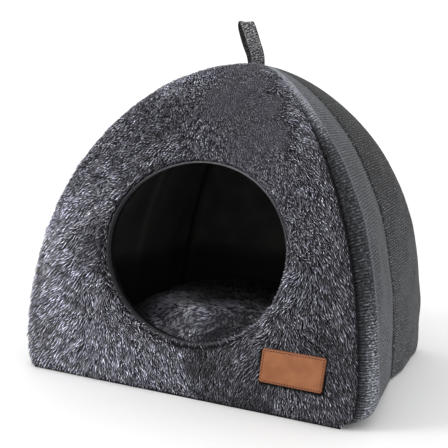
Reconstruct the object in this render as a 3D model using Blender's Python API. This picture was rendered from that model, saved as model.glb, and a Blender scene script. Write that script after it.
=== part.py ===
"""Padded pet cave of cloth: a domed house on a square base.

The front is one thick plush panel with a round doorway. Each side is two
padded linen panels that meet at an upright seam, and the back is one more.
All of them run up to the apex, where a folded strap makes a carrying loop.
Inside there is a smooth dark lining, and a plush cushion lies on the base.

Metres, +Z up, front towards -Y, origin at the middle of the footprint.
"""
import math

import bmesh
import bpy
from mathutils import Vector

MM = 0.001

# Dome: half sizes at the foot, and how the two outlines curve in to the apex
HALF_WIDTH = 200 * MM
HALF_DEPTH = 184 * MM
HEIGHT = 370 * MM
BACK_SHARE = 0.95
MIDDLE_SHARE = 0.94
WIDTH_RISE, WIDTH_ROUND = 2.333, 1.678
DEPTH_RISE, DEPTH_ROUND = 3.112, 2.0

# Walls
BASE_THICKNESS = 3 * MM
GAP = 0.3 * MM
WALL_FOOT = BASE_THICKNESS + GAP
WALL = 24 * MM
LINING = 1.6 * MM
SOFT_WIDTH = 80 * MM
LAST_ROW_DEG = 82
ROWS = 18

# Foot: over what height the front corners turn under, and how far
FOLD_HEIGHT = 32 * MM
CORNER_TUCK = {"left": 11 * MM, "right": 15 * MM}
WALL_TUCK = 1 * MM
FRONT_FOOT_SHARE = 0.5
FOOT_LIFT = 4 * MM
FOOT_ROW_SHARES = (0.13, 0.5)

# Seams: how far each outer seam lies inside the dome's sharp corner
FRONT_SEAM_IN = {"left": -1.5 * MM, "right": 7 * MM}
FRONT_SEAM_BACK = 10 * MM
BACK_SEAM_IN = (2.5 * MM, 7.8 * MM)

# How each side or back panel swells beside its seams: how high it stands over
# the seam, how wide it turns, how much of that the foot takes away, and below
# what half width of the dome, and how fast, it dies out towards the apex
ENDS = {
    "front left": dict(roll=9.5 * MM, turn=40 * MM, ease=0.65, soft=170 * MM, power=2),
    "front right": dict(roll=17 * MM, turn=13 * MM, ease=0.65, soft=170 * MM, power=2),
    "middle": dict(roll=3 * MM, turn=10 * MM, ease=0.0, soft=170 * MM, power=2),
    "back": dict(roll=6 * MM, turn=15 * MM, ease=0.0, soft=170 * MM, power=2),
}
CROWN = 4 * MM
CROWN_SOFT = 170 * MM
TURN_ANGLES = (0, 25, 50, 90)
TURN_LIMIT = 0.3
PLUSH_ROLL, PLUSH_TURN = 10 * MM, 15 * MM
PLUSH_TURN_ANGLES = (0, 30, 60, 90)

# Doorway: an ellipse on the front panel laid flat
DOOR_CENTRE = (2.5 * MM, 158 * MM)
DOOR_HALF = (107.3 * MM, 100.3 * MM)
DOOR_TURN = 9 * MM
DOOR_ROLL = 7 * MM
BINDING_WIDTH = 3.4 * MM
BINDING_DEPTH = 10 * MM
BINDING_SIDES = ((0, -0.35), (0, 0.5), (1, 0.5), (1, -0.35), (0.5, -0.5))
DOOR_EVENNESS = 0.6
BACK_STATIONS = (0.0, 0.25, 0.5, 0.75, 1.0)

# Strap loop at the apex, leaning to the left of the front
STRAP_WIDTH = 16.5 * MM
STRAP_THICKNESS = 2.2 * MM
STRAP_TURN_DEG = 11
SLOT_CENTRE = (-4 * MM, -1.5 * MM)
SLOT_HALF = (12.4 * MM, 3.7 * MM)
SLOT_POWER = 8
SLOT_RIM_DROP = 0.8 * MM

# Label, sewn low on the right of the front, leaning a little to the right
LABEL_LOW = (91.8 * MM, 34.6 * MM)
LABEL_SIZE = (68 * MM, 36.5 * MM)
LABEL_LEAN = 3 * MM
LABEL_PIECES = (8, 5)
LABEL_THICKNESS = 1.5 * MM
LABEL_GAP = 0.5 * MM

# Cushion: a squared round in plan, widest at its waist, crowned above it
CUSHION_HALF = (156 * MM, 146 * MM)
CUSHION_SQUARE = 2.7
CUSHION_CENTRE = (0.0, 0.0)
CUSHION_FOOT = BASE_THICKNESS + GAP
CUSHION_WAIST = 30 * MM
CUSHION_CROWN = 76 * MM
CUSHION_DOME = 0.62
CUSHION_STEPS = 48
CUSHION_TOP_ANGLES = (90, 78, 66, 55, 45, 36, 28, 20, 12, 5)
CUSHION_UNDER_RINGS = (
    dict(share=0.86, level=0.0),
    dict(share=0.94, level=0.14),
    dict(share=0.985, level=0.45),
)
CUSHION_WAVES = (
    dict(waves=3, size=0.012, start=0.6),
    dict(waves=5, size=0.008, start=2.0),
)

SIDES = {"left": -1, "right": 1}

# The walls behind the front, seam to seam round the plan, with their columns
WALL_RUNS = (
    (("front", "right"), ("middle", "right"), 3),
    (("middle", "right"), ("back", "right"), 3),
    (("back", "right"), ("back", "left"), 6),
    (("back", "left"), ("middle", "left"), 3),
    (("middle", "left"), ("front", "left"), 3),
)
FRONT_FOOT_PIECES = 15
FRONT_TIP_PIECES = 4
BASE_INSET = -1 * MM
BASE_ROUND = 0.8 * MM

# Soft hollows (-) and swells (+) of the plush front: where, how wide, how deep
FRONT_LUMPS = (
    dict(x=-120, up=95, wide=55, high=3.0),
    dict(x=10, up=28, wide=45, high=-3.0),
    dict(x=88, up=22, wide=26, high=-2.5),
    dict(x=150, up=130, wide=38, high=-2.0),
    dict(x=-60, up=300, wide=50, high=1.5),
    dict(x=45, up=310, wide=55, high=-2.0),
    dict(x=126, up=53, wide=48, high=-1.5),
)

# Troughs pressed into the cushion's top: from, to, half width, depth
CUSHION_TROUGHS = (
    dict(start=(-38, -128), end=(52, -104), wide=11, deep=13),
    dict(start=(52, -104), end=(112, -52), wide=14, deep=8),
    dict(start=(-38, -128), end=(-108, -70), wide=15, deep=6),
    dict(start=(-60, 12), end=(18, 34), wide=17, deep=7),
    dict(start=(18, 34), end=(70, 8), wide=15, deep=6),
    dict(start=(-20, -62), end=(-74, -30), wide=15, deep=5),
    dict(start=(30, -40), end=(84, 60), wide=18, deep=4),
)

# The strap's middle line: across the strap, through its two legs, up
STRAP_COURSE = (
    dict(across=2.5, through=1.45, up=-20),
    dict(across=2.5, through=1.45, up=-8),
    dict(across=2.7, through=1.6, up=1),
    dict(across=1.6, through=4.6, up=12),
    dict(across=-3.0, through=7.0, up=25),
    dict(across=-8.0, through=7.2, up=38),
    dict(across=-12.5, through=5.0, up=47),
    dict(across=-16.0, through=0.0, up=50),
    dict(across=-18.5, through=-5.0, up=46.5),
    dict(across=-16.5, through=-7.2, up=38),
    dict(across=-11.5, through=-7.0, up=25),
    dict(across=-5.5, through=-4.6, up=12),
    dict(across=-2.5, through=-1.6, up=1),
    dict(across=-2.5, through=-1.45, up=-8),
    dict(across=-2.5, through=-1.45, up=-20),
)
STRAP_STEPS = 4
# its section, in half widths and half thicknesses
STRAP_SECTION = ((1, 0.6), (0.95, 1), (-0.95, 1), (-1, 0.6),
                 (-1, -0.6), (-0.95, -1), (0.95, -1), (1, -0.6))

MATERIALS = {
    "plush": dict(colour=(0.085, 0.088, 0.105), rough=0.95),
    "linen": dict(colour=(0.060, 0.065, 0.075), rough=0.85),
    "lining": dict(colour=(0.008, 0.008, 0.009), rough=0.8),
    "base_cloth": dict(colour=(0.006, 0.006, 0.007), rough=0.85),
    "binding": dict(colour=(0.10, 0.10, 0.11), rough=0.8),
    "leather": dict(colour=(0.42, 0.17, 0.07), rough=0.6),
}


# ---------------------------------------------------------------- helpers
def clear_scene():
    for thing in list(bpy.data.objects):
        bpy.data.objects.remove(thing, do_unlink=True)


def material(name):
    """The named material, made once."""
    found = bpy.data.materials.get(name)
    if found:
        return found
    look = MATERIALS[name]
    made = bpy.data.materials.new(name)
    made.use_nodes = True
    shader = made.node_tree.nodes["Principled BSDF"]
    shader.inputs["Base Color"].default_value = (*look["colour"], 1)
    shader.inputs["Roughness"].default_value = look["rough"]
    return made


def add_object(name, bm, material_name, sharp_deg=40):
    """Turn a bmesh into a named object with its material and smooth shading."""
    bmesh.ops.recalc_face_normals(bm, faces=bm.faces)
    mesh = bpy.data.meshes.new(name)
    bm.to_mesh(mesh)
    bm.free()
    mesh.materials.append(material(material_name))
    mesh.shade_smooth()
    mesh.set_sharp_from_angle(angle=math.radians(sharp_deg))
    made = bpy.data.objects.new(name, mesh)
    bpy.context.scene.collection.objects.link(made)
    return made


def add_quad(bm, a, b, c, d):
    """A four-cornered patch as two triangles, always split from b to d."""
    bm.faces.new((a, b, d))
    bm.faces.new((b, c, d))


def add_grid(bm, grid, wrap=False):
    """Faces over rows of points; wrap closes each row on itself."""
    verts = [[bm.verts.new(point) for point in row] for row in grid]
    for low, high in zip(verts, verts[1:]):
        for i in range(len(low) if wrap else len(low) - 1):
            j = (i + 1) % len(low)
            add_quad(bm, low[i], low[j], high[j], high[i])
    return verts


def add_strip(bm, first, second, wrap=False):
    """Faces between two equal rows of vertices."""
    for i in range(len(first) if wrap else len(first) - 1):
        j = (i + 1) % len(first)
        add_quad(bm, first[i], first[j], second[j], second[i])


def padded_panel(name, outer, inner, material_name):
    """A closed panel between an outer and an inner grid of equal shape."""
    bm = bmesh.new()
    out = add_grid(bm, outer)
    ins = add_grid(bm, inner)
    add_strip(bm, out[0], ins[0])
    add_strip(bm, out[-1], ins[-1])
    for side in (0, -1):
        add_strip(bm, [row[side] for row in out], [row[side] for row in ins])
    return add_object(name, bm, material_name)


def smooth_course(points, steps):
    """Points along a smooth curve through the given ones."""
    course = []
    last = len(points) - 1
    for i in range(last):
        p0, p1 = points[max(i - 1, 0)], points[i]
        p2, p3 = points[i + 1], points[min(i + 2, last)]
        for k in range(steps):
            t = k / steps
            course.append(0.5 * (2 * p1 + (p2 - p0) * t
                                 + (2 * p0 - 5 * p1 + 4 * p2 - p3) * t ** 2
                                 + (3 * p1 - p0 - 3 * p2 + p3) * t ** 3))
    course.append(points[last])
    return course


# ------------------------------------------------------------- dome shape
def row_shares():
    """How far up the dome each row of points lies, 0 at the foot."""
    turns = (math.radians(LAST_ROW_DEG) * j / (ROWS - 1) for j in range(ROWS))
    low = [math.sin(turn) ** (2 / WIDTH_RISE) for turn in turns]
    foot_rows = [FOLD_HEIGHT * lift / (HEIGHT - WALL_FOOT) for lift in FOOT_ROW_SHARES]
    return sorted(low + foot_rows)


def half_width(share, inside=0.0):
    return (HALF_WIDTH - inside) * (1 - share ** WIDTH_RISE) ** (1 / WIDTH_ROUND)


def half_depth(share, inside=0.0):
    return (HALF_DEPTH - inside) * (1 - share ** DEPTH_RISE) ** (1 / DEPTH_ROUND)


def height(share, inside=0.0):
    return WALL_FOOT + (HEIGHT - inside - WALL_FOOT) * share


def softness(share, width=SOFT_WIDTH, power=1):
    """Shrinks the rolls where the panels narrow towards the apex."""
    return min(1.0, half_width(share) / width) ** power


def fold(share):
    """How far the wall has turned under itself: 1 at the foot, then less along
    a quarter turn, and 0 above the fold's height."""
    below = max(0.0, 1 - (height(share) - WALL_FOOT) / FOLD_HEIGHT)
    return 1 - math.sqrt(1 - below ** 2)


def seam_back(share):
    """How far the front corner seams lie behind the plush face."""
    return FRONT_SEAM_BACK * softness(share) * (1 - FRONT_FOOT_SHARE * fold(share))


def plush_lift(share):
    """How high the plush face stands over the plane of its seams."""
    return PLUSH_ROLL * softness(share) * (1 - FRONT_FOOT_SHARE * fold(share))


def lean(share, size):
    """Angle of the wall from upright, for half_width or half_depth."""
    step = 0.002
    low, high = max(share - step, 0), min(share + step, 0.999)
    return math.atan2(size(low) - size(high), height(high) - height(low))


def outer_seam(name, share):
    """The outer line of a seam: front or back corner, or a side's middle."""
    place, side = name
    width, depth, soft = half_width(share), half_depth(share), softness(share)
    under = WALL_TUCK * fold(share)
    if place == "front":
        x = width - FRONT_SEAM_IN[side] * soft - CORNER_TUCK[side] * fold(share)
        y = -(depth - seam_back(share) - under)
    elif place == "middle":
        x, y = MIDDLE_SHARE * width - under, 0.0
    else:
        x = BACK_SHARE * width - BACK_SEAM_IN[0] * soft - under
        y = depth - BACK_SEAM_IN[1] * soft - under
    return Vector((SIDES[side] * x, y, height(share)))


def inner_seam(name, share, inside=WALL):
    """The same seam on the inside of the wall."""
    place, side = name
    width, depth = half_width(share, inside), half_depth(share, inside)
    x, y = {"front": (width, -depth), "middle": (MIDDLE_SHARE * width, 0.0),
            "back": (BACK_SHARE * width, depth)}[place]
    return Vector((SIDES[side] * x, y, height(share, inside)))


def slot_edge(point, level):
    """The point of the strap's slot that lies towards a point of the dome."""
    turn = math.radians(STRAP_TURN_DEG)
    centre = Vector((*SLOT_CENTRE, 0))
    away = Vector((point.x, point.y, 0)) - centre
    heading = math.atan2(away.y, away.x)
    along = abs(math.cos(heading - turn)) / SLOT_HALF[0]
    across = abs(math.sin(heading - turn)) / SLOT_HALF[1]
    reach = (along ** SLOT_POWER + across ** SLOT_POWER) ** (-1 / SLOT_POWER)
    edge = centre + away.normalized() * reach
    return Vector((edge.x, edge.y, level))


# ------------------------------------------------------ side and back walls
def end_form(name):
    """The entry of ENDS for a seam."""
    place, side = name
    return ENDS[f"front {side}" if place == "front" else place]


def end_lift(form, share):
    """How high a panel stands beside one of its seams."""
    soft = softness(share, form["soft"], form["power"])
    return form["roll"] * soft * (1 - form["ease"] * fold(share))


def panel_grids(start, end, facing):
    """Outer and inner points of a padded wall between two seams.

    facing is the way out in plan.
    """
    edge_angles = [math.radians(a) for a in TURN_ANGLES]
    size = half_width if facing.x else half_depth
    forms = end_form(start), end_form(end)
    outer, inner = [], []
    for share in row_shares():
        first, last = outer_seam(start, share), outer_seam(end, share)
        length = (last - first).length
        reach = [min(form["turn"], TURN_LIMIT * length) for form in forms]
        spots = [(reach[0] * (1 - math.cos(a)) / length, math.sin(a)) for a in edge_angles]
        spots += [(reach[0] / length + k / 4 * (1 - sum(reach) / length), 1.0) for k in (1, 2, 3)]
        spots += [(1 - reach[1] * (1 - math.cos(a)) / length, math.sin(a))
                  for a in reversed(edge_angles)]
        angle = lean(share, size)
        out = facing * math.cos(angle) + Vector((0, 0, math.sin(angle)))
        lifts = [end_lift(form, share) for form in forms]
        crown = CROWN * softness(share, CROWN_SOFT)
        low_in, high_in = inner_seam(start, share), inner_seam(end, share)
        margin = 0.5 * GAP / length
        row_out, row_in = [], []
        for t, edge in spots:
            t = margin + t * (1 - 2 * margin)
            lift = (lifts[0] * (1 - t) + lifts[1] * t + crown * 4 * t * (1 - t)) * edge
            raised = FOOT_LIFT * fold(share) * edge * (forms[0]["ease"] > 0) * (1 - t)
            row_out.append(first.lerp(last, t) + out * lift + Vector((0, 0, raised)))
            row_in.append(low_in.lerp(high_in, t))
        outer.append(row_out)
        inner.append(row_in)
    rim = outer[-1]
    outer.append([slot_edge(p, HEIGHT - SLOT_RIM_DROP) for p in rim])
    inner.append([slot_edge(p, HEIGHT - WALL) for p in rim])
    return outer, inner


def make_side_panels():
    for side, sign in SIDES.items():
        out = Vector((sign, 0, 0))
        front, middle, back = ((place, side) for place in ("front", "middle", "back"))
        padded_panel(f"side_{side}_front", *panel_grids(front, middle, out), "linen")
        padded_panel(f"side_{side}_back", *panel_grids(middle, back, out), "linen")


def make_back_panel():
    grids = panel_grids(("back", "right"), ("back", "left"), Vector((0, 1, 0)))
    padded_panel("back_panel", *grids, "linen")


# -------------------------------------------------------------- front panel
def flat_lengths(steps=400):
    """Pairs of share and distance up the front, measured over its curve."""
    pairs = [(0.0, WALL_FOOT)]
    top = 0.9995
    for i in range(1, steps + 1):
        share = top * i / steps
        before = pairs[-1][0]
        rise = height(share) - height(before)
        fall = half_depth(before) - half_depth(share)
        pairs.append((share, pairs[-1][1] + math.hypot(rise, fall)))
    return pairs


LENGTHS = flat_lengths()


def look_up(value, known, wanted):
    """Read LENGTHS one way or the other, straight between its points."""
    low, high = 0, len(LENGTHS) - 1
    while high - low > 1:
        middle = (low + high) // 2
        if LENGTHS[middle][known] <= value:
            low = middle
        else:
            high = middle
    span = LENGTHS[high][known] - LENGTHS[low][known]
    part = (value - LENGTHS[low][known]) / span
    return LENGTHS[low][wanted] + part * (LENGTHS[high][wanted] - LENGTHS[low][wanted])


def share_at(up):
    return min(LENGTHS[-1][0], max(0.0, look_up(up, 1, 0)))


def up_at(share):
    return look_up(share, 0, 1)


def front_swell(x, up):
    """Uneven swell of the plush front, from its table."""
    total = 0.0
    for lump in FRONT_LUMPS:
        away = ((x - lump["x"] * MM) ** 2 + (up - lump["up"] * MM) ** 2) / (lump["wide"] * MM) ** 2
        total += lump["high"] * MM * math.exp(-away)
    return total


def front_point(x, up, lift):
    """A point of the front panel, given where it lies when laid flat."""
    share = share_at(up)
    y = -(half_depth(share) - seam_back(share) - WALL_TUCK * fold(share))
    angle = lean(share, half_depth)
    out = Vector((0, -math.cos(angle), math.sin(angle)))
    return Vector((x, y, height(share))) + out * lift


def front_face(x, up):
    """The plush front's full outer face, away from its edges."""
    return front_point(x, up, plush_lift(share_at(up)) + front_swell(x, up))


def front_outline(seam_line, margin=GAP / 2):
    """The panel's edge, laid flat, anticlockwise from its lower left corner.

    seam_line is outer_seam or inner_seam; each entry is (x, share of height).
    """
    shares = row_shares()
    right = [(seam_line(("front", "right"), s).x - margin, s) for s in shares]
    left = [(seam_line(("front", "left"), s).x + margin, s) for s in shares]

    def between(start, end, pieces):
        return [(start[0] + (end[0] - start[0]) * i / pieces, start[1]) for i in range(1, pieces)]

    edge = [left[0]] + between(left[0], right[0], FRONT_FOOT_PIECES) + right
    edge += between(right[-1], left[-1], FRONT_TIP_PIECES) + list(reversed(left))
    return edge[:-1]


def door_angles(edge):
    """One heading from the doorway's middle for each point of the flat edge.

    They lie between the way straight to the point and an even spread.
    """
    headings = []
    for x, share in edge:
        heading = math.atan2(up_at(share) - DOOR_CENTRE[1], x - DOOR_CENTRE[0])
        while headings and heading < headings[-1]:
            heading += 2 * math.pi
        headings.append(heading)
    step = 2 * math.pi / len(headings)
    return [DOOR_EVENNESS * (headings[0] + i * step) + (1 - DOOR_EVENNESS) * heading
            for i, heading in enumerate(headings)]


def door_point(angle, inward=0.0):
    """A point of the doorway's edge on the flat panel, or a little inside it."""
    half = [size - inward for size in DOOR_HALF]
    return DOOR_CENTRE[0] + half[0] * math.cos(angle), DOOR_CENTRE[1] + half[1] * math.sin(angle)


def ring_spots(length):
    """Stations from the doorway (0) to the edge (1), with each one's roll."""
    turn_in, turn_out = DOOR_TURN / length, PLUSH_TURN / length
    angles = [math.radians(a) for a in PLUSH_TURN_ANGLES]
    low_roll = 1 - DOOR_ROLL / PLUSH_ROLL
    spots = [(turn_in * (1 - math.cos(a)), low_roll + (1 - low_roll) * math.sin(a))
             for a in angles]
    spots += [(turn_in + k / 3 * (1 - turn_in - turn_out), 1.0) for k in (1, 2)]
    spots += [(1 - turn_out * (1 - math.cos(a)), math.sin(a)) for a in reversed(angles)]
    return spots


def front_back_point(x, up, t, inside, share_end):
    """A point of the panel's back: t is 0 at the doorway and 1 at the edge.

    The back keeps the doorway's size and runs out to the inner seams.
    """
    share = share_at(up)
    straight = (height(share) - WALL_FOOT) / (HEIGHT - inside - WALL_FOOT)
    share_in = share_end if t == 1.0 else min(straight, 0.999) * (1 - t) + share * t
    return Vector((x, -half_depth(share_in, inside), height(share_in, inside)))


def make_front_panel():
    rings_out, rings_in = [], []
    edge = front_outline(outer_seam)
    for (x1, share1), (inner_x, _), angle in zip(edge, front_outline(inner_seam), door_angles(edge)):
        up1 = up_at(share1)
        x0, up0 = door_point(angle)
        line_out = []
        for t, roll in ring_spots(math.hypot(x1 - x0, up1 - up0)):
            x, up = x0 + (x1 - x0) * t, up0 + (up1 - up0) * t
            lift = plush_lift(share_at(up)) + front_swell(x, up)
            line_out.append(front_point(x, up, roll * lift))
        rings_out.append(line_out)
        rings_in.append([front_back_point(x0 + (inner_x - x0) * t, up0 + (up1 - up0) * t,
                                          t, WALL, share1) for t in BACK_STATIONS])

    bm = bmesh.new()
    out = add_grid(bm, list(zip(*rings_out)), wrap=True)
    ins = add_grid(bm, list(zip(*rings_in)), wrap=True)
    add_strip(bm, out[0], ins[0], wrap=True)
    # both edges are laced upwards, as the side panels are, so the faces match
    tip = tip_span()
    foot_and_right = range(tip[0] + 1)
    left = [0] + list(range(len(rings_out) - 1, tip[-1] - 1, -1))
    for run in (foot_and_right, left):
        add_strip(bm, [out[-1][i] for i in run], [ins[-1][i] for i in run])
    # the tip runs on from the last row to the strap's slot
    low_out, low_in = [out[-1][i] for i in tip], [ins[-1][i] for i in tip]
    tip_out = [bm.verts.new(slot_edge(vert.co, HEIGHT - SLOT_RIM_DROP)) for vert in low_out]
    tip_in = [bm.verts.new(slot_edge(vert.co, HEIGHT - WALL)) for vert in low_out]
    add_strip(bm, low_out, tip_out)
    add_strip(bm, low_in, tip_in)
    add_strip(bm, tip_out, tip_in)
    for end in (0, -1):
        add_quad(bm, low_out[end], tip_out[end], tip_in[end], low_in[end])
    return add_object("front_panel", bm, "plush")


def tip_span():
    """Which points of the outline lie on the front panel's short top edge."""
    start = FRONT_FOOT_PIECES + len(row_shares()) - 1
    return list(range(start, start + FRONT_TIP_PIECES + 1))


def make_binding():
    """The turned edge of the doorway: one narrow ring of folded cloth."""
    bm = bmesh.new()
    rings = []
    for angle in door_angles(front_outline(outer_seam)):
        ring = []
        for inward, back in BINDING_SIDES:
            spot = door_point(angle, GAP + inward * BINDING_WIDTH)
            ring.append(bm.verts.new(front_point(*spot, 0) + Vector((0, back * BINDING_DEPTH, 0))))
        rings.append(ring)
    for ring, following in zip(rings, rings[1:] + rings[:1]):
        add_strip(bm, ring, following, wrap=True)
    return add_object("doorway_binding", bm, "binding")


# ------------------------------------------------------------------- lining
def make_lining():
    """One smooth shell just inside the walls, open at the foot and doorway."""
    inside = WALL + GAP

    def seam(name, share):
        return inner_seam(name, share, inside)

    bm = bmesh.new()
    rings = []
    angles = door_angles(front_outline(outer_seam))
    for (x1, share1), angle in zip(front_outline(seam, margin=0.0), angles):
        up1 = up_at(share1)
        x0, up0 = door_point(angle)
        rings.append([front_back_point(x0 + (x1 - x0) * t, up0 + (up1 - up0) * t, t, inside, share1)
                      for t in BACK_STATIONS])
    add_grid(bm, list(zip(*rings)), wrap=True)

    crest = []
    for start, end, columns in WALL_RUNS:
        grid = [[seam(start, share).lerp(seam(end, share), i / columns) for i in range(columns + 1)]
                for share in row_shares()]
        add_grid(bm, grid)
        crest += grid[-1][:-1]
    left, right = (seam(("front", side), row_shares()[-1]) for side in ("left", "right"))
    crest += [left.lerp(right, i / FRONT_TIP_PIECES) for i in range(FRONT_TIP_PIECES)]
    apex = bm.verts.new((0, 0, height(1.0, inside)))
    ring = [bm.verts.new(point) for point in crest]
    for i, vert in enumerate(ring):
        bm.faces.new((vert, ring[(i + 1) % len(ring)], apex))
    bmesh.ops.remove_doubles(bm, verts=bm.verts, dist=0.02 * MM)
    made = add_object("lining", bm, "lining")
    if made.data.polygons[0].normal.y > 0:
        made.data.flip_normals()
    solid = made.modifiers.new("Cloth", "SOLIDIFY")
    solid.thickness = LINING
    solid.offset = -1
    return made


# --------------------------------------------------------------- small parts
def make_base():
    """The stiffened floor under the walls, a flat slab of dark cloth."""
    outline = []
    for start, end, columns in ((("front", "left"), ("front", "right"), 6), *WALL_RUNS):
        first, last = outer_seam(start, 0.0), outer_seam(end, 0.0)
        outline += [first.lerp(last, i / columns) for i in range(columns)]
    levels = ((0.0, BASE_INSET + BASE_ROUND), (BASE_ROUND, BASE_INSET),
              (BASE_THICKNESS - BASE_ROUND, BASE_INSET), (BASE_THICKNESS, BASE_INSET + BASE_ROUND))
    bm = bmesh.new()
    rings = [[Vector((p.x * (1 - inward / HALF_WIDTH), p.y * (1 - inward / HALF_DEPTH), level))
              for p in outline] for level, inward in levels]
    verts = add_grid(bm, rings, wrap=True)
    bm.faces.new(verts[0])
    bm.faces.new(verts[-1])
    bmesh.ops.triangulate(bm, faces=[f for f in bm.faces if len(f.verts) > 4])
    return add_object("base", bm, "base_cloth")


def trough_depth(x, y):
    """How deep the cushion's troughs press at a place on its top."""
    total = 0.0
    for trough in CUSHION_TROUGHS:
        start = Vector(trough["start"]) * MM
        line = Vector(trough["end"]) * MM - start
        spot = Vector((x, y)) - start
        along = min(1.0, max(0.0, spot.dot(line) / line.length_squared))
        away = (spot - line * along).length / (trough["wide"] * MM)
        total += trough["deep"] * MM * math.exp(-away ** 2)
    return total


def make_cushion():
    """A filled pad: crowned, round-edged, with troughs and a flat underside."""
    bm = bmesh.new()

    def rim(angle, share):
        square = CUSHION_SQUARE
        reach = (abs(math.cos(angle) / CUSHION_HALF[0]) ** square
                 + abs(math.sin(angle) / CUSHION_HALF[1]) ** square) ** (-1 / square)
        for wave in CUSHION_WAVES:
            reach *= 1 + wave["size"] * math.sin(wave["waves"] * angle + wave["start"])
        return (CUSHION_CENTRE[0] + reach * share * math.cos(angle),
                CUSHION_CENTRE[1] + reach * share * math.sin(angle))

    rows = []
    angles = [2 * math.pi * i / CUSHION_STEPS for i in range(CUSHION_STEPS)]
    for ring in CUSHION_UNDER_RINGS:
        z = CUSHION_FOOT + CUSHION_WAIST * ring["level"]
        rows.append([(*rim(a, ring["share"]), z) for a in angles])
    for turn in CUSHION_TOP_ANGLES:
        share, up = math.sin(math.radians(turn)), math.cos(math.radians(turn))
        level = CUSHION_FOOT + CUSHION_WAIST + (CUSHION_CROWN - CUSHION_WAIST) * up ** CUSHION_DOME
        row = []
        for a in angles:
            x, y = rim(a, share)
            row.append((x, y, level - trough_depth(x, y) * min(1.0, 3 * up)))
        rows.append(row)
    verts = add_grid(bm, rows, wrap=True)
    bm.faces.new(verts[0])
    bmesh.ops.triangulate(bm, faces=[f for f in bm.faces if len(f.verts) > 4])
    x, y = CUSHION_CENTRE
    crown = bm.verts.new((x, y, CUSHION_FOOT + CUSHION_CROWN - trough_depth(x, y)))
    for i, vert in enumerate(verts[-1]):
        bm.faces.new((vert, verts[-1][(i + 1) % CUSHION_STEPS], crown))
    return add_object("cushion", bm, "plush", sharp_deg=80)


def make_strap():
    """The carrying loop: one flat strap whose two ends go down into the slot."""
    turn = math.radians(STRAP_TURN_DEG)
    across = Vector((math.cos(turn), math.sin(turn), 0))
    through = Vector((math.sin(turn), -math.cos(turn), 0))
    root = Vector((*SLOT_CENTRE, HEIGHT))
    knots = [root + (across * k["across"] + through * k["through"]) * MM
             + Vector((0, 0, k["up"] * MM)) for k in STRAP_COURSE]
    course = smooth_course(knots, STRAP_STEPS)
    bm = bmesh.new()
    rings = []
    for i, point in enumerate(course):
        ahead = (course[min(i + 1, len(course) - 1)] - course[max(i - 1, 0)]).normalized()
        wide = (across - ahead * across.dot(ahead)).normalized() * STRAP_WIDTH / 2
        thick = ahead.cross(wide).normalized() * STRAP_THICKNESS / 2
        rings.append([point + wide * w + thick * t for w, t in STRAP_SECTION])
    verts = add_grid(bm, rings, wrap=True)
    bm.faces.new(verts[0])
    bm.faces.new(verts[-1])
    return add_object("strap_loop", bm, "linen")


def make_label():
    """A small leather patch that follows the front's swell."""
    columns, rows = LABEL_PIECES
    layers = []
    for lift in (LABEL_GAP, LABEL_GAP + LABEL_THICKNESS):
        grid = []
        for j in range(rows + 1):
            up = LABEL_LOW[1] + LABEL_SIZE[1] * j / rows
            row = []
            for i in range(columns + 1):
                x = LABEL_LOW[0] + LABEL_SIZE[0] * i / columns + LABEL_LEAN * (j / rows - 0.5)
                row.append(front_face(x, up) + Vector((0, -lift, 0)))
            grid.append(row)
        layers.append(grid)
    return padded_panel("label_patch", layers[1], layers[0], "leather")


def main():
    clear_scene()
    make_front_panel()
    make_side_panels()
    make_back_panel()
    make_lining()
    make_base()
    make_cushion()
    make_binding()
    make_strap()
    make_label()


main()
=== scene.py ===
"""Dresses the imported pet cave: plush pile, woven padded walls, a stuffed
cushion, the lining, the carrying loop and the stitched label.

Sizes and tables are in millimetres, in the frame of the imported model, and
"up" is a distance along the front's curve from its foot. Meshes are made in
metres.
"""
import math

import bpy
import numpy as np
from mathutils import Matrix, Vector


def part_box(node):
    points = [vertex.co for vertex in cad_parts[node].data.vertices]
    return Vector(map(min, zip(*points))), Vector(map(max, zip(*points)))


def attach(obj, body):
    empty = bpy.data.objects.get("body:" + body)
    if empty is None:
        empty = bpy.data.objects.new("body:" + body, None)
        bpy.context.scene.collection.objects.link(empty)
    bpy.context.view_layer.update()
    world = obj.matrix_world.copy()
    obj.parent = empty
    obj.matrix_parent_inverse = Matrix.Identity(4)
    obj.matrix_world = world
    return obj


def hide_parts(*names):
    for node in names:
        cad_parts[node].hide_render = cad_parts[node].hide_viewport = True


MM = 0.001


def table(names, *rows):
    """Rows with named columns."""
    return [dict(zip(names.split(), row)) for row in rows]


# ---- the cave's shell, as in the part's source
HALF_WIDTH = 200.0
HALF_DEPTH = 184.0
HEIGHT = 370.0
BACK_SHARE = 0.95
MIDDLE_SHARE = 0.94
WIDTH_RISE = 2.333
WIDTH_ROUND = 1.678
DEPTH_RISE = 3.112
DEPTH_ROUND = 2.0
WALL_FOOT = 3.3
WALL = 24.0
GAP = 0.3
INSIDE = WALL + GAP
SOFT_WIDTH = 80.0
FOLD_HEIGHT = 32.0
CORNER_TUCK = {"left": 11.0, "right": 15.0}
WALL_TUCK = 1.0
FRONT_FOOT_SHARE = 0.5
FOOT_LIFT = 4.0
FRONT_SEAM_IN = {"left": -1.5, "right": 7.0}
FRONT_SEAM_BACK = 10.0
BACK_SEAM_IN = (2.5, 7.8)
ENDS = {
    "front left": {"roll": 9.5, "turn": 40.0, "ease": 0.65},
    "front right": {"roll": 17.0, "turn": 13.0, "ease": 0.65},
    "middle": {"roll": 3.0, "turn": 10.0, "ease": 0.0},
    "back": {"roll": 6.0, "turn": 15.0, "ease": 0.0},
}
END_SOFT = 170.0
END_POWER = 2
CROWN = 4.0
TURN_LIMIT = 0.3
PLUSH_ROLL = 10.0
PLUSH_TURN = 15.0
TOP_TURN = math.radians(82)
SIDES = {"left": -1, "right": 1}
# the seams of the walls, in turn round the cave from the front's right
SEAMS = (("front", "right"), ("middle", "right"), ("back", "right"),
         ("back", "left"), ("middle", "left"), ("front", "left"))

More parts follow.
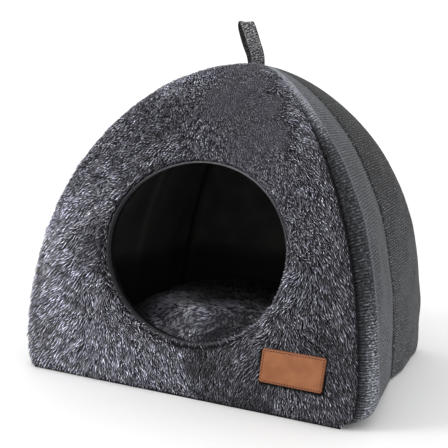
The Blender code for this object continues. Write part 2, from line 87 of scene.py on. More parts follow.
DOOR_CENTRE = (2.5, 158.0)
DOOR_HALF = (107.3, 100.3)
DOOR_TURN = 9.0
DOOR_ROLL = 7.0
DOOR_EVENNESS = 0.6
BINDING_WIDTH = 3.4
BINDING_DEPTH = 10.0
LINING_TUCK = 2.0
# the lining cloth's thickness
LINING_CLOTH = 1.6
BASE_THICKNESS = 3.0

STRAP_WIDTH = 16.5
STRAP_THICKNESS = 2.2
STRAP_TURN_DEG = 11.0
SLOT_CENTRE = (-4.0, -1.5)
SLOT_HALF = (12.4, 3.7)
SLOT_POWER = 8
SLOT_RIM_DROP = 0.8
LABEL_LOW = (91.8, 34.6)
LABEL_SIZE = (68.0, 36.5)
LABEL_LEAN = 3.0
LABEL_GAP = 0.5
LABEL_THICKNESS = 1.5
LABEL_CORNER = 2.8
STITCH = {"inset": 2.2, "pitch": 3.1, "length": 2.1, "half": 0.5, "sunk": 0.12, "lift": 0.36}

STRAP_COURSE = table(
    "across through up",
    (2.5, 1.45, -20), (2.5, 1.45, -8), (2.7, 1.6, 1), (1.6, 4.6, 12), (-3, 7, 25),
    (-8, 7.2, 38), (-12.5, 5, 47), (-16, 0, 50), (-18.5, -5, 46.5), (-16.5, -7.2, 38),
    (-11.5, -7, 25), (-5.5, -4.6, 12), (-2.5, -1.6, 1), (-2.5, -1.45, -8), (-2.5, -1.45, -20))

FRONT_LUMPS = table(
    "x up wide high",
    (-120, 95, 55, 3), (10, 28, 45, -3), (88, 22, 26, -2.5), (150, 130, 38, -2),
    (-60, 300, 50, 1.5), (45, 310, 55, -2), (126, 53, 48, -1.5))

# ---- how the pile lies: heading in degrees from +x, anticlockwise on the
# flat front, so 270 points down; painted_light is painted light and shade,
# how pale the tips are made there
PILE_FLOW = table(
    "x up heading length shine",
    (-190, 30, 228, 12, 0.9), (-190, 90, 222, 12, 0.95), (-175, 150, 226, 11, 1.4),
    (-150, 225, 230, 8, 0.9), (-120, 220, 222, 9, 0.95), (-113, 265, 234, 7, 0.95),
    (-120, 90, 260, 9, 1.3), (-135, 35, 236, 12, 1.25), (-90, 40, 290, 9, 1.5),
    (-50, 45, 305, 8, 1.45), (-70, 75, 312, 7, 1.35), (-10, 20, 308, 8, 1.6),
    (20, 40, 278, 8, 0.4), (45, 15, 272, 8, 0.65), (70, 65, 236, 10, 0.52),
    (85, 45, 240, 10, 0.45), (90, 92, 230, 9, 0.7), (115, 130, 236, 8, 1.0),
    (128, 97, 300, 8, 0.75), (150, 85, 310, 8, 0.4), (172, 50, 306, 10, 0.48),
    (158, 18, 300, 9, 0.7), (120, 16, 276, 8, 0.95), (88, 10, 268, 7, 0.5),
    (176, 112, 306, 10, 0.66), (162, 155, 308, 10, 0.62), (150, 210, 312, 9, 0.88),
    (125, 262, 318, 9, 0.85), (122, 186, 306, 6, 1.1), (110, 218, 308, 6, 1.1),
    (110, 300, 330, 13, 0.8), (88, 335, 335, 15, 0.8), (63, 368, 340, 14, 0.75),
    (45, 390, 345, 9, 0.6), (78, 290, 315, 4.5, 0.75), (62, 330, 325, 4, 0.7),
    (38, 365, 330, 4, 0.7), (50, 280, 292, 5, 0.75), (5, 335, 288, 4.5, 0.65),
    (10, 400, 290, 4.5, 0.7), (-5, 272, 272, 6, 1.1), (-42, 266, 242, 7, 1.05),
    (-60, 286, 245, 7, 0.55), (-74, 250, 228, 8, 0.85), (-138, 198, 226, 9, 1.6),
    (-113, 155, 226, 9, 0.6), (-158, 98, 222, 12, 1.3), (-15, 52, 300, 8, 1.3),
    (88, 248, 308, 5.5, 1.05), (-45, 318, 270, 6.5, 0.75), (-92, 325, 255, 7, 0.8),
    (-70, 352, 262, 7, 1.7), (-50, 364, 278, 6, 1.7), (-40, 398, 282, 6, 0.85))
PILE_NEARNESS = {"soft": 60, "power": 2}
# stations are where a hair's rings stand along it, thin is how wide they are
LOCK = {"spacing": 1.85, "hairs": 1, "spread": 0.25, "pieces": 6,
        "stations": (0, 0.35, 0.7, 1), "thin": (1.0, 0.95, 0.72)}
FINE = {"spacing": 1.9, "hairs": 2, "spread": 0.4, "pieces": 2,
        "stations": (0, 0.55, 1), "thin": (1.0, 0.75)}
DOOR_ROUND = 650
# the rim's clumps: spacing and distance outside the doorway's edge in mm, angles in radians
RIM = {"spacing": 1.7, "shift": 0.008, "jitter": 0.006, "outside": (-0.3, 2.4)}
# how wide the pale and dark streaks of the pile are, and how far they run
STREAK_PITCH = 2.4
STREAK_STEPS = (-3, -1.5, 0, 1.5, 3)
STREAK_GAIN = 2.4
STREAK_LIMIT = 1.6
# powers of the way along a hair: how late it leans over and how soon it rises
HAIR_LEAN = 1.35
HAIR_RISE = 1.7
# length in the table at which the fine pile passes into the long pile
FINE_BELOW = 5.8
FINE_BLEND = 0.8
PILE_SCALE = 0.62
PILE_SINK = 0.32
# how much the left edge's pile is tamed; at the other edges it is 1
FREE_EDGE = 0.2
FLOOR_CLEAR = 0.3

RIB_PITCH = 3.0
RIB_SLANT = 0.06
SEAM_RANGE = 50.0
PUCKER_PITCH = 13
# a wall's columns of points just past its turn, in mm, and the wall's least
# length for them; the column of the turn itself
RIDGE_STEPS = (0.5, 1.0, 1.6, 2.4, 4.0)
RIDGE_LEAST = 60
RIDGE_COLUMN = 8
# a wall's last rows: shares of the way to the loop's slot, and cloth per row
TIP_SHARES = (0.35, 0.7, 1.0)
TIP_RISE = 6.0

CUSHION_VOXEL = 5.0
CUSHION_PRESSURE = 4.0
CUSHION_FRAMES = 20
CUSHION_SHRINK = 0.96
CUSHION_CAP = 9.0
CUSHION_PILE = {"clumps": 9200, "hairs": 3, "pieces": 2, "length": 7.5, "spread": 0.9,
                "width": 0.62, "sunk": 0.4}
# the cushion's pile grows where the cloth faces up by this much, above this height
PILE_FACES_UP = 0.25
PILE_FROM = 30
# which way the cushion's pile is brushed, and its painted light: pale by the door, dark at the back
CUSHION_BRUSH_AND_LIGHT = table(
    "x y heading shine",
    (-60, -74, 200, 0.75), (-30, -102, 255, 2.1), (-28, -62, 185, 0.16), (15, -128, 300, 0.12),
    (-20, -20, 170, 0.04), (45, -90, 320, 0.4), (90, -60, 30, 0.4), (40, -10, 110, 0.06),
    (-105, -80, 235, 0.04), (-88, -100, 235, 0.1), (-110, 0, 150, 0.06), (0, 60, 90, 0.01),
    (-60, 40, 130, 0.02), (-90, 110, 130, 0.03), (100, 60, 60, 0.03), (20, 120, 90, 0.02))
CUSHION_NEARNESS = {"soft": 200, "power": 1.5}

# ---- the camera of the photograph
CAMERA = {"azimuth": 23.103, "elevation": 7.083, "roll": 3.22, "distance": 1004.4,
          "aim_up": 180.0, "aim_right": -32.8, "aim_rise": -9.6, "lens": 64.118}


# ------------------------------------------------------------------- meshes
def new_mesh(name, points, face_sets, material):
    """An object made from points in mm and from arrays of faces."""
    mesh = bpy.data.meshes.new(name)
    points = np.asarray(points, float).reshape(-1, 3) * MM
    mesh.vertices.add(len(points))
    mesh.vertices.foreach_set("co", points.astype(np.float32).ravel())
    sizes = np.concatenate([np.full(len(faces), faces.shape[1]) for faces in face_sets])
    corners = np.concatenate([faces.ravel() for faces in face_sets])
    mesh.loops.add(len(corners))
    mesh.loops.foreach_set("vertex_index", corners.astype(np.int32))
    mesh.polygons.add(len(sizes))
    starts = np.concatenate([[0], np.cumsum(sizes)[:-1]])
    mesh.polygons.foreach_set("loop_start", starts.astype(np.int32))
    mesh.update(calc_edges=True)
    made = bpy.data.objects.new(name, mesh)
    bpy.context.scene.collection.objects.link(made)
    mesh.materials.append(material)
    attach(made, "root")
    return made


def grid_faces(rows, columns, wrap=False, start=0, flip=False):
    """Quads between the points of a grid that is stored row by row."""
    row = np.arange(rows - 1)[:, None]
    column = np.arange(columns if wrap else columns - 1)[None, :]
    beside = (column + 1) % columns
    quads = np.stack([row * columns + column, row * columns + beside,
                      (row + 1) * columns + beside, (row + 1) * columns + column], -1)
    quads = quads.reshape(-1, 4) + start
    return quads[:, ::-1] if flip else quads


def strip_faces(first, second, wrap=False):
    """Quads between two equal runs of point numbers."""
    if wrap:
        first, second = np.append(first, first[0]), np.append(second, second[0])
    return np.stack([first[:-1], first[1:], second[1:], second[:-1]], -1)


def fan_faces(spots, middle):
    """Triangles from a closed run of point numbers to one point."""
    return np.stack([spots, np.roll(spots, -1), np.full(len(spots), middle)], -1)


def shell_faces(rows, columns):
    """Faces of a closed pad: an outer grid, an inner grid and four edges."""
    count = rows * columns
    spots = np.arange(count).reshape(rows, columns)
    faces = [grid_faces(rows, columns), grid_faces(rows, columns, start=count, flip=True)]
    for run in (spots[0][::-1], spots[-1], spots[:, 0], spots[::-1, -1]):
        faces.append(strip_faces(run, run + count))
    return np.concatenate(faces)


def repeat_faces(faces, count, each):
    """The same faces for each of count equal sets of points."""
    starts = (np.arange(count) * each)[:, None, None]
    return (faces[None] + starts).reshape(-1, faces.shape[1])


def tone_array(shape, *parts):
    """Up to four numbers for each point of a grid."""
    tone = np.zeros(shape + (4,))
    for i, part in enumerate(parts):
        tone[..., i] = part
    return tone


def set_tone(made, values):
    """Four numbers a point, which the materials read."""
    tone = made.data.attributes.new("tone", "FLOAT_COLOR", "POINT")
    tone.data.foreach_set("color", np.asarray(values, np.float32).ravel())


def set_flat(made, flat):
    """Lays the flat cut's coordinates, in mm, on the mesh as a UV map in metres."""
    corners = np.zeros(len(made.data.loops), np.int32)
    made.data.loops.foreach_get("vertex_index", corners)
    layer = made.data.uv_layers.new(name="flat")
    flat = np.asarray(flat).reshape(-1, 2) * MM
    layer.data.foreach_set("uv", flat[corners].astype(np.float32).ravel())


def waves(x, y, size, seed, count=9):
    """Smooth unevenness about 1 high, with features about size apart."""
    rng = np.random.default_rng(seed)
    total = np.zeros(np.broadcast(x, y).shape)
    for _ in range(count):
        heading, phase = rng.uniform(0, 2 * math.pi, 2)
        pitch = 2 * math.pi / size * rng.uniform(0.6, 1.5)
        total += np.sin(pitch * (x * math.cos(heading) + y * math.sin(heading)) + phase)
    return total / math.sqrt(count / 2)


def unit(vectors):
    return vectors / np.maximum(np.linalg.norm(vectors, axis=-1, keepdims=True), 1e-9)


def bell(value, wide):
    """1 where value is 0, and falling off over about wide to both sides."""
    return np.exp(-(value / wide) ** 2)


def ramp_down(value, full, none):
    """1 below full and 0 above none, smooth between."""
    share = np.clip((none - value) / (none - full), 0, 1)
    return share * share * (3 - 2 * share)


def quarter_roll(distance, reach):
    """0 at an edge and 1 from reach on, as a quarter circle."""
    away = np.clip(1 - distance / reach, 0, 1)
    return np.sqrt(1 - away ** 2)


def eased(count):
    """Shares from 0 to 1, close together at 0, as on a quarter circle."""
    return 1 - np.cos(np.radians(np.linspace(0, 90, count)))


def blend(spots, x, y, soft, power):
    """Direction and the columns after it at a place, from a table of spots."""
    names = list(spots[0])
    weights, east, north, sums = 0, 0, 0, dict.fromkeys(names[3:], 0)
    for spot in spots:
        away = (x - spot[names[0]]) ** 2 + (y - spot[names[1]]) ** 2
        weight = 1 / (away + soft) ** power
        heading = math.radians(spot["heading"])
        weights = weights + weight
        east = east + weight * math.cos(heading)
        north = north + weight * math.sin(heading)
        for name in sums:
            sums[name] = sums[name] + weight * spot[name]
    return (np.arctan2(north, east), *(total / weights for total in sums.values()))


# ---------------------------------------------------------- the shell's form
def half_width(share, inside=0.0):
    return (HALF_WIDTH - inside) * (1 - share ** WIDTH_RISE) ** (1 / WIDTH_ROUND)


def half_depth(share, inside=0.0):
    return (HALF_DEPTH - inside) * (1 - share ** DEPTH_RISE) ** (1 / DEPTH_ROUND)


def height(share, inside=0.0):
    return WALL_FOOT + (HEIGHT - inside - WALL_FOOT) * share


def softness(share, width=SOFT_WIDTH, power=1):
    return np.minimum(1.0, half_width(share) / width) ** power


def fold(share):
    """1 at the foot, where the wall has turned under, and 0 above the fold."""
    below = np.maximum(0.0, 1 - (height(share) - WALL_FOOT) / FOLD_HEIGHT)
    return 1 - np.sqrt(1 - below ** 2)


def seam_back(share):
    return FRONT_SEAM_BACK * softness(share) * (1 - FRONT_FOOT_SHARE * fold(share))


def plush_lift(share):
    return PLUSH_ROLL * softness(share) * (1 - FRONT_FOOT_SHARE * fold(share))


def lean(share, size):
    """Angle of the wall from upright, for half_width or half_depth."""
    step = 0.002
    low, high = np.maximum(share - step, 0), np.minimum(share + step, 0.999)
    return np.arctan2(size(low) - size(high), height(high) - height(low))


def outer_seam(name, share):
    """Points of a seam's outer line: front or back corner, or a side's middle."""
    place, side = name
    width, depth, soft = half_width(share), half_depth(share), softness(share)
    under = WALL_TUCK * fold(share)
    if place == "front":
        x = width - FRONT_SEAM_IN[side] * soft - CORNER_TUCK[side] * fold(share)
        y = -(depth - seam_back(share) - under)
    elif place == "middle":
        x, y = MIDDLE_SHARE * width - under, 0 * depth
    else:
        x = BACK_SHARE * width - BACK_SEAM_IN[0] * soft - under
        y = depth - BACK_SEAM_IN[1] * soft - under
    return np.stack([SIDES[side] * x, y, height(share)], -1)


def inner_seam(name, share, inside=WALL):
    """The same seam on the inside of the wall."""
    place, side = name
    width, depth = half_width(share, inside), half_depth(share, inside)
    x, y = {"front": (width, -depth), "middle": (MIDDLE_SHARE * width, 0 * depth),
            "back": (BACK_SHARE * width, depth)}[place]
    return np.stack([SIDES[side] * x, y, height(share, inside)], -1)


def slot_edge(points, level):
    """The rim of the loop's slot that lies towards these points of the dome."""
    turn = math.radians(STRAP_TURN_DEG)
    away = points[..., :2] - np.array(SLOT_CENTRE)
    heading = np.arctan2(away[..., 1], away[..., 0]) - turn
    along = np.abs(np.cos(heading)) / SLOT_HALF[0]
    across = np.abs(np.sin(heading)) / SLOT_HALF[1]
    reach = (along ** SLOT_POWER + across ** SLOT_POWER) ** (-1 / SLOT_POWER)
    edge = np.array(SLOT_CENTRE) + unit(away) * reach[..., None]
    return np.concatenate([edge, np.full(edge.shape[:-1] + (1,), level)], -1)


def rising_rows(count):
    """Shares of the height, closer together where the wall leans over."""
    return np.sin(np.linspace(0, TOP_TURN, count)) ** (2 / WIDTH_RISE)


def wall_rows(count=70, foot_rows=10):
    """Shares of the height for the rows of a wall, closer together at the foot."""
    low = np.linspace(0, FOLD_HEIGHT / HEIGHT, foot_rows)[1:]
    return np.unique(np.round(np.concatenate([rising_rows(count), low]), 4))


# ------------------------------------------------------- the front's surface
LENGTH_SHARES = np.linspace(0, 0.9995, 801)
LENGTH_UPS = WALL_FOOT + np.concatenate([[0.0], np.cumsum(np.hypot(
    np.diff(height(LENGTH_SHARES)), np.diff(half_depth(LENGTH_SHARES))))])


def share_at(up):
    return np.interp(up, LENGTH_UPS, LENGTH_SHARES)


def up_at(share):
    return np.interp(share, LENGTH_SHARES, LENGTH_UPS)


def front_swell(x, up):
    total = np.zeros(np.broadcast(x, up).shape)
    for lump in FRONT_LUMPS:
        away = ((x - lump["x"]) ** 2 + (up - lump["up"]) ** 2) / lump["wide"] ** 2
        total += lump["high"] * np.exp(-away)
    return total


def front_out(up):
    """The way out of the front, square to its curve."""
    angle = lean(share_at(up), half_depth)
    return np.stack([0 * angle, -np.cos(angle), np.sin(angle)], -1)


def front_rise(up):
    """The way up along the front's curve."""
    angle = lean(share_at(up), half_depth)
    return np.stack([0 * angle, np.sin(angle), np.cos(angle)], -1)


def front_point(x, up, lift):
    share = share_at(up)
    y = -(half_depth(share) - seam_back(share) - WALL_TUCK * fold(share))
    flat = np.stack(np.broadcast_arrays(x, y, height(share)), -1)
    return flat + front_out(up) * np.asarray(lift)[..., None]


def front_side(side, up):
    """How far the front reaches to one side at a height."""
    share = share_at(up)
    tuck = CORNER_TUCK[side] * fold(share)
    return half_width(share) - FRONT_SEAM_IN[side] * softness(share) - tuck


def door_distance(x, up):
    """How far a place on the flat front is outside the doorway's edge, about."""
    share = np.hypot((x - DOOR_CENTRE[0]) / DOOR_HALF[0], (up - DOOR_CENTRE[1]) / DOOR_HALF[1])
    return (share - 1) * sum(DOOR_HALF) / 2


def edge_distance(x, up):
    """How far a place on the flat front is from its outer edge, about."""
    nearest = np.full(np.broadcast(x, up).shape, 1e9)
    for side, sign in SIDES.items():
        gap = front_side(side, up) - sign * x
        slope = (front_side(side, up + 2) - front_side(side, up - 2)) / 4
        nearest = np.minimum(nearest, gap / np.sqrt(1 + slope ** 2))
    return np.minimum(nearest, up - WALL_FOOT)


def front_lift(x, up):
    """How high the plush stands over the seams' plane, with its edges rolled."""
    low = 1 - DOOR_ROLL / PLUSH_ROLL
    door_share = low + (1 - low) * quarter_roll(door_distance(x, up), DOOR_TURN)
    edge_share = quarter_roll(edge_distance(x, up), PLUSH_TURN)
    return (plush_lift(share_at(up)) + front_swell(x, up)) * door_share * edge_share


def flow_at(x, up):
    """Direction, length and painted light and shade of the front's pile."""
    return blend(PILE_FLOW, x, up, **PILE_NEARNESS)


def closed_edge(left, right, foot_pieces, tip_pieces):
    """A closed edge, anticlockwise from the lower left, from its two sides."""
    foot = np.linspace(left[0], right[0], foot_pieces + 1)[1:-1]
    tip = np.linspace(right[-1], left[-1], tip_pieces + 1)[1:-1]
    return np.concatenate([left[:1], foot, right, tip, left[::-1]])[:-1]


def front_outline(rows, foot_pieces, tip_pieces):
    """The front's flat edge, as x and share."""
    right = np.stack([front_side("right", up_at(rows)) - GAP / 2, rows], -1)
    left = np.stack([-front_side("left", up_at(rows)) + GAP / 2, rows], -1)
    return closed_edge(left, right, foot_pieces, tip_pieces)


def door_angles(edge):
    """Headings from the doorway's middle for the points of an edge."""
    across, rise = edge[:, 0] - DOOR_CENTRE[0], up_at(edge[:, 1]) - DOOR_CENTRE[1]
    heading = np.unwrap(np.arctan2(rise, across))
    even = heading[0] + np.arange(len(edge)) * 2 * math.pi / len(edge)
    return DOOR_EVENNESS * even + (1 - DOOR_EVENNESS) * heading


def door_point(angle, inward=0.0):
    return (DOOR_CENTRE[0] + (DOOR_HALF[0] - inward) * np.cos(angle),
            DOOR_CENTRE[1] + (DOOR_HALF[1] - inward) * np.sin(angle))


def front_inside(door, edge, t, inside):
    """x and share on the front's inside, from the doorway, 0, to the edge, 1."""
    (x0, up0), (x1, up1) = door, edge
    share = share_at(up0[:, None] + (up1 - up0)[:, None] * t)
    straight = np.clip((height(share) - WALL_FOOT) / (HEIGHT - inside - WALL_FOOT), 0, 0.999)
    return x0[:, None] + (x1 - x0)[:, None] * t, straight * (1 - t) + share * t


def inside_point(x, share, inside):
    return np.stack([x, -half_depth(share, inside), height(share, inside)], -1)


# ---------------------------------------------------------------- materials
def rgba(colour):
    """A socket as it is, or three numbers with an alpha of 1."""
    return colour if isinstance(colour, bpy.types.NodeSocket) else (*colour, 1)


class Surface:
    """A material, and short ways to add nodes to it."""

    def __init__(self, name, rough, specular, sheen=0.0, sheen_rough=0.5):
        self.made = bpy.data.materials.new(name)
        self.made.use_nodes = True
        self.tree = self.made.node_tree
        self.shader = self.tree.nodes["Principled BSDF"]
        for socket, value in (("Roughness", rough), ("Specular IOR Level", specular),
                              ("Sheen Weight", sheen), ("Sheen Roughness", sheen_rough)):
            self.shader.inputs[socket].default_value = value

    def node(self, kind, inputs, **settings):
        """A node's outputs; inputs maps names or numbers to values or sockets."""
        made = self.tree.nodes.new("ShaderNode" + kind)
        for key, value in settings.items():
            setattr(made, key, value)
        for key, value in inputs.items():
            if isinstance(value, bpy.types.NodeSocket):
                self.tree.links.new(value, made.inputs[key])
            else:
                made.inputs[key].default_value = value
        return made.outputs

    def math(self, operation, *values):
        return self.node("Math", dict(enumerate(values)), operation=operation)[0]

    def add(self, first, second):
        return self.math("ADD", first, second)

    def times(self, first, second):
        return self.math("MULTIPLY", first, second)

    def most(self, first, second):
        return self.math("MAXIMUM", first, second)

    def mix(self, share, first, second):
        return self.node("Mix", {0: share, 6: rgba(first), 7: rgba(second)}, data_type="RGBA")[2]

    def scaled(self, colour, level):
        inputs = {0: colour, "Scale": level}
        return self.node("VectorMath", inputs, operation="SCALE")[0]

    def ramp(self, value, low, high, start=0.0, end=1.0):
        """A smooth step of value from start to end between low and high."""
        inputs = {0: value, 1: low, 2: high, 3: start, 4: end}
        return self.node("MapRange", inputs, interpolation_type="SMOOTHSTEP")[0]

    def noise(self, vector, scale, detail=2.0, rough=0.5):
        inputs = {0: vector, "Scale": scale, "Detail": detail, "Roughness": rough}
        return self.node("TexNoise", inputs)[0]

    def weave(self, flat, across, up, detail=2.0):
        """Noise with its own scale each way of the flat cut."""
        return self.noise(self.node("Mapping", {0: flat, 3: (across, up, 1)})[0], 1.0, detail)

    def place(self):
        return self.node("TexCoord", {})["Object"]

    def flat(self):
        return self.node("UVMap", {}, uv_map="flat")[0]

    def tone(self):
        """The four numbers that set_tone stored."""
        stored = self.node("Attribute", {}, attribute_name="tone")
        return (*self.node("SeparateColor", {0: stored["Color"]})[:3], stored["Alpha"])

    def finish(self, colour, relief=None, strength=0.0, depth=0.0):
        """Paints the surface, with a bump of depth mm, and returns the material."""
        self.tree.links.new(colour, self.shader.inputs["Base Color"])
        if relief is not None:
            inputs = {"Strength": strength, "Distance": depth * MM, "Height": relief}
            self.tree.links.new(self.node("Bump", inputs)[0], self.shader.inputs["Normal"])
        return self.made


def pile_material():
    """Tone holds along, brightness with painted light and shade, coolness."""
    pile = Surface("plush_pile", 0.6, 0.3, 0.06, 0.4)
    along, bright, cool, _ = pile.tone()
    tip = pile.mix(cool, (0.57, 0.57, 0.58), (0.51, 0.52, 0.65))
    # dark roots and pale tips: the pile's own tipped colour, partly painted shade deep between the
    # locks
    colour = pile.mix(pile.ramp(along, 0.24, 1.0), (0.008, 0.008, 0.011), tip)
    return pile.finish(pile.scaled(colour, bright))


def backing_material():
    """Tone holds how much of the short, paler ground pile there is, and on the cushion painted light;
    without it the backing is near-black, partly painted shade under the long pile.
    """
    cloth = Surface("plush_backing", 0.95, 0.1)
    short, _, _, _ = cloth.tone()
    grain = cloth.noise(cloth.place(), 700, 3)
    shade = cloth.ramp(grain, 0.3, 0.7)
    # partly painted shade: near-black where the long pile covers the backing
    deep = cloth.mix(shade, (0.006, 0.006, 0.008), (0.022, 0.02, 0.026))
    ground = cloth.mix(shade, (0.06, 0.058, 0.075), (0.11, 0.106, 0.13))
    return cloth.finish(cloth.mix(short, deep, ground), grain, 0.6, 0.6)


def linen_material(name, dark, light, fleck, dots, ribs, shaded):
    """Ribbed weave with pale flecks; dots is how far apart these are, in mm,
    ribs is how strongly the ribs show, and shaded is how far from a seam the
    cloth is darkened with painted shade, in mm.

    Tone holds fleck strength, brightness with painted light and shade, the seam's
    distance / SEAM_RANGE, and how strong a painted highlight along an edge is.
    """
    cloth = Surface(name, 0.85, 0.2, 0.04)
    flecks, bright, seam, edge = cloth.tone()
    flat = cloth.flat()
    weft, warp = cloth.weave(flat, 160, 800), cloth.weave(flat, 800, 160)
    base = cloth.mix(cloth.ramp(cloth.weave(flat, 22, 30, 3), 0.3, 0.7), dark, light)
    thread = cloth.ramp(cloth.add(weft, warp), 0.75, 1.25, 0.4, 1.6)

    along, up, _ = cloth.node("SeparateXYZ", {0: flat})
    slanted = cloth.math("MULTIPLY_ADD", along, -RIB_SLANT, up)
    sway = cloth.times(cloth.weave(flat, 25, 90), 7.0)
    phase = cloth.math("MULTIPLY_ADD", slanted, 2 * math.pi / (RIB_PITCH * MM), sway)
    rib = cloth.ramp(cloth.math("SINE", phase), -1.0, 1.0)
    broken = cloth.ramp(cloth.weave(flat, 120, 260, 1), 0.35, 0.65, 0.4, 1.3)
    rib_swing = cloth.times(cloth.math("SUBTRACT", rib, 0.5), broken)
    rib_light = cloth.math("MULTIPLY_ADD", rib_swing, ribs, 1.0)

    stitch_away = cloth.math("ABSOLUTE", cloth.math("SUBTRACT", seam, 4 / SEAM_RANGE))
    stitch = cloth.ramp(stitch_away, 0.3 / SEAM_RANGE, 0.9 / SEAM_RANGE, 0.45, 0.0)
    # painted shade: darker in the seam's groove, and in broken patches out to shaded mm from the seam
    groove_shade = cloth.ramp(seam, 0.2 / SEAM_RANGE, 2 / SEAM_RANGE, 0.85, 0.0)
    run_on = cloth.ramp(cloth.weave(flat, 15, 90), 0.35, 0.6, 0.3, 0.75)
    near = cloth.ramp(seam, 0.35 * shaded / SEAM_RANGE, shaded / SEAM_RANGE, 1.0, 0.0)
    shade = cloth.times(near, run_on)
    dim = cloth.math("SUBTRACT", 1.0, cloth.most(cloth.most(stitch, groove_shade), shade))
    level = cloth.times(cloth.times(cloth.times(thread, rib_light), bright), dim)

    dash = cloth.weave(flat, 0.5 / (dots * MM), 1.4 / (dots * MM))
    mask = cloth.times(cloth.times(cloth.ramp(dash, 0.51, 0.63), flecks), rib_light)
    # painted highlight: the edge tone lays a pale line on in the fleck colour
    mask = cloth.math("MINIMUM", cloth.most(mask, edge), 1.0)
    colour = cloth.mix(mask, cloth.scaled(base, level), fleck)
    raised = cloth.add(cloth.add(weft, warp), cloth.times(rib, 0.5))
    return cloth.finish(colour, cloth.math("SUBTRACT", raised, stitch), 0.5, 0.5)


def lining_material():
    """Tone holds how near a pale seam and a sunken seam are, and how much painted shade lies low down
    and towards the right.
    """
    cloth = Surface("lining_cloth", 0.7, 0.3, 0.1, 0.4)
    seam, sunken, foot, _ = cloth.tone()
    place = cloth.place()
    patch, grain = cloth.noise(place, 22, 3), cloth.noise(place, 900, 1)
    colour = cloth.mix(cloth.ramp(patch, 0.3, 0.7), (0.025, 0.025, 0.027), (0.047, 0.046, 0.043))
    colour = cloth.mix(seam, colour, (0.075, 0.074, 0.071))
    # painted shade: the foot tone makes the lining near-black low down and towards the right
    colour = cloth.mix(cloth.most(sunken, foot), colour, (0.003, 0.003, 0.003))
    return cloth.finish(colour, cloth.add(grain, patch), 0.4, 0.4)


def grained_material(name, rough, specular, scale, colours, strength=0.0, depth=0.0):
    """Two colours mixed by fine noise, which is also the bump."""
    made = Surface(name, rough, specular)
    grain = made.noise(made.place(), scale)
    return made.finish(made.mix(grain, *colours), grain if depth else None, strength, depth)


def binding_material():
    """Tone holds the painted highlight along the tape's outer side at the doorway's top."""
    tape = Surface("binding_tape", 0.6, 0.35, 0.05, 0.4)
    pale, _, _, _ = tape.tone()
    ribs = tape.weave(tape.flat(), 1100, 160)
    colour = tape.mix(pale, (0.03, 0.03, 0.035), (0.2, 0.2, 0.215))
    colour = tape.mix(tape.ramp(ribs, 0.35, 0.65, 0.0, 0.5), colour, (0.025, 0.025, 0.03))
    return tape.finish(colour, ribs, 0.5, 0.3)


def leather_material():
    """Tone holds the distance from the label's edge / 10 mm."""
    hide = Surface("label_leather", 0.52, 0.4)
    from_edge, _, _, _ = hide.tone()
    flat = hide.flat()
    grain, patch = hide.noise(flat, 1300, 4, 0.6), hide.noise(flat, 60, 4)
    pores = hide.node("TexVoronoi", {0: flat, "Scale": 1500})[0]
    colour = hide.mix(hide.ramp(patch, 0.3, 0.7), (0.24, 0.078, 0.026), (0.32, 0.117, 0.042))
    colour = hide.mix(hide.ramp(grain, 0.3, 0.7, 0.0, 0.3), colour, (0.18, 0.055, 0.02))
    worn = hide.mix(hide.ramp(from_edge, 0.02, 0.14, 0.8, 0.0), colour, (0.12, 0.035, 0.013))
    return hide.finish(worn, hide.add(grain, pores), 0.35, 0.25)


# --------------------------------------------------------------------- pile
def make_hairs(name, hairs, form, material, root_tone=0.0):
    """One mesh of curved tapering hairs, dark at the root up to root_tone.

    hairs holds an entry for each hair. Its shift from the clump's middle closes
    up by gather towards the tip, and no hair goes under the floor.
    """
    stations = np.array(form["stations"])
    s = stations[None, :, None]
    root, out, way, shift = (hairs[key][:, None, :] for key in ("root", "out", "way", "shift"))
    length, rise, curl, gather, width = (
        hairs[key][:, None, None] for key in ("length", "rise", "curl", "gather", "width"))
    line = (root + shift * (1 - gather * s)
            + way * length * s ** HAIR_LEAN + out * rise * (1 - (1 - s) ** HAIR_RISE)
            + np.cross(out, way) * curl * s ** 2)
    level, low = line[..., 2], 2 * FLOOR_CLEAR + width[..., 0] / 2
    line[..., 2] = np.where(level < low, low + 0.1 * (level - low), level).clip(FLOOR_CLEAR)
    ahead = np.gradient(line, axis=1)
    across = unit(np.cross(ahead, np.broadcast_to(out, ahead.shape)))
    above = unit(np.cross(across, ahead))
    count, rings = len(line), len(stations) - 1
    radius = width / 2 * np.array(form["thin"])[None, :, None]
    corners = [line[:, :-1] + radius * (across[:, :-1] * math.cos(turn)
                                        + above[:, :-1] * math.sin(turn))
               for turn in map(math.radians, (90, 210, 330))]
    body = np.stack(corners, 2).reshape(count, rings * 3, 3)
    points = np.concatenate([body, line[:, -1:]], 1)
    each = points.shape[1]
    tip = fan_faces(np.arange(3) + (rings - 1) * 3, each - 1)
    ends = np.concatenate([tip, [[2, 1, 0]]])
    faces = [repeat_faces(kind, count, each) for kind in (grid_faces(rings, 3, wrap=True), ends)]
    made = new_mesh(name, points, faces, material)
    along = np.append(np.repeat(stations[:-1], 3), 1.0)
    set_tone(made, tone_array((count, each), root_tone + (1 - root_tone) * along,
                              hairs["bright"][:, None], hairs["cool"][:, None], 1))


def clump_hairs(clump, hairs, rng):
    """Splits each clump into hairs round its middle."""
    split = {key: np.repeat(value, hairs, 0) for key, value in clump.items()}
    total = len(clump["root"]) * hairs
    side = np.cross(split["out"], split["way"]) * rng.normal(0, 1, (total, 1))
    along = split["way"] * rng.normal(0, 0.5, (total, 1))
    split["shift"] = side * split.pop("spread")[:, None] + along
    split["gather"] = rng.uniform(0.55, 1.0, total)
    split["length"] = split["length"] * rng.uniform(0.84, 1.1, total)
    split["rise"] = split["rise"] * rng.uniform(0.85, 1.1, total)
    split["curl"] = split["curl"] + rng.normal(0, 0.2, total)
    split["width"] = split["width"] * rng.uniform(0.85, 1.15, total)
    split["bright"] = split["bright"] * rng.uniform(0.88, 1.12, total)
    return split


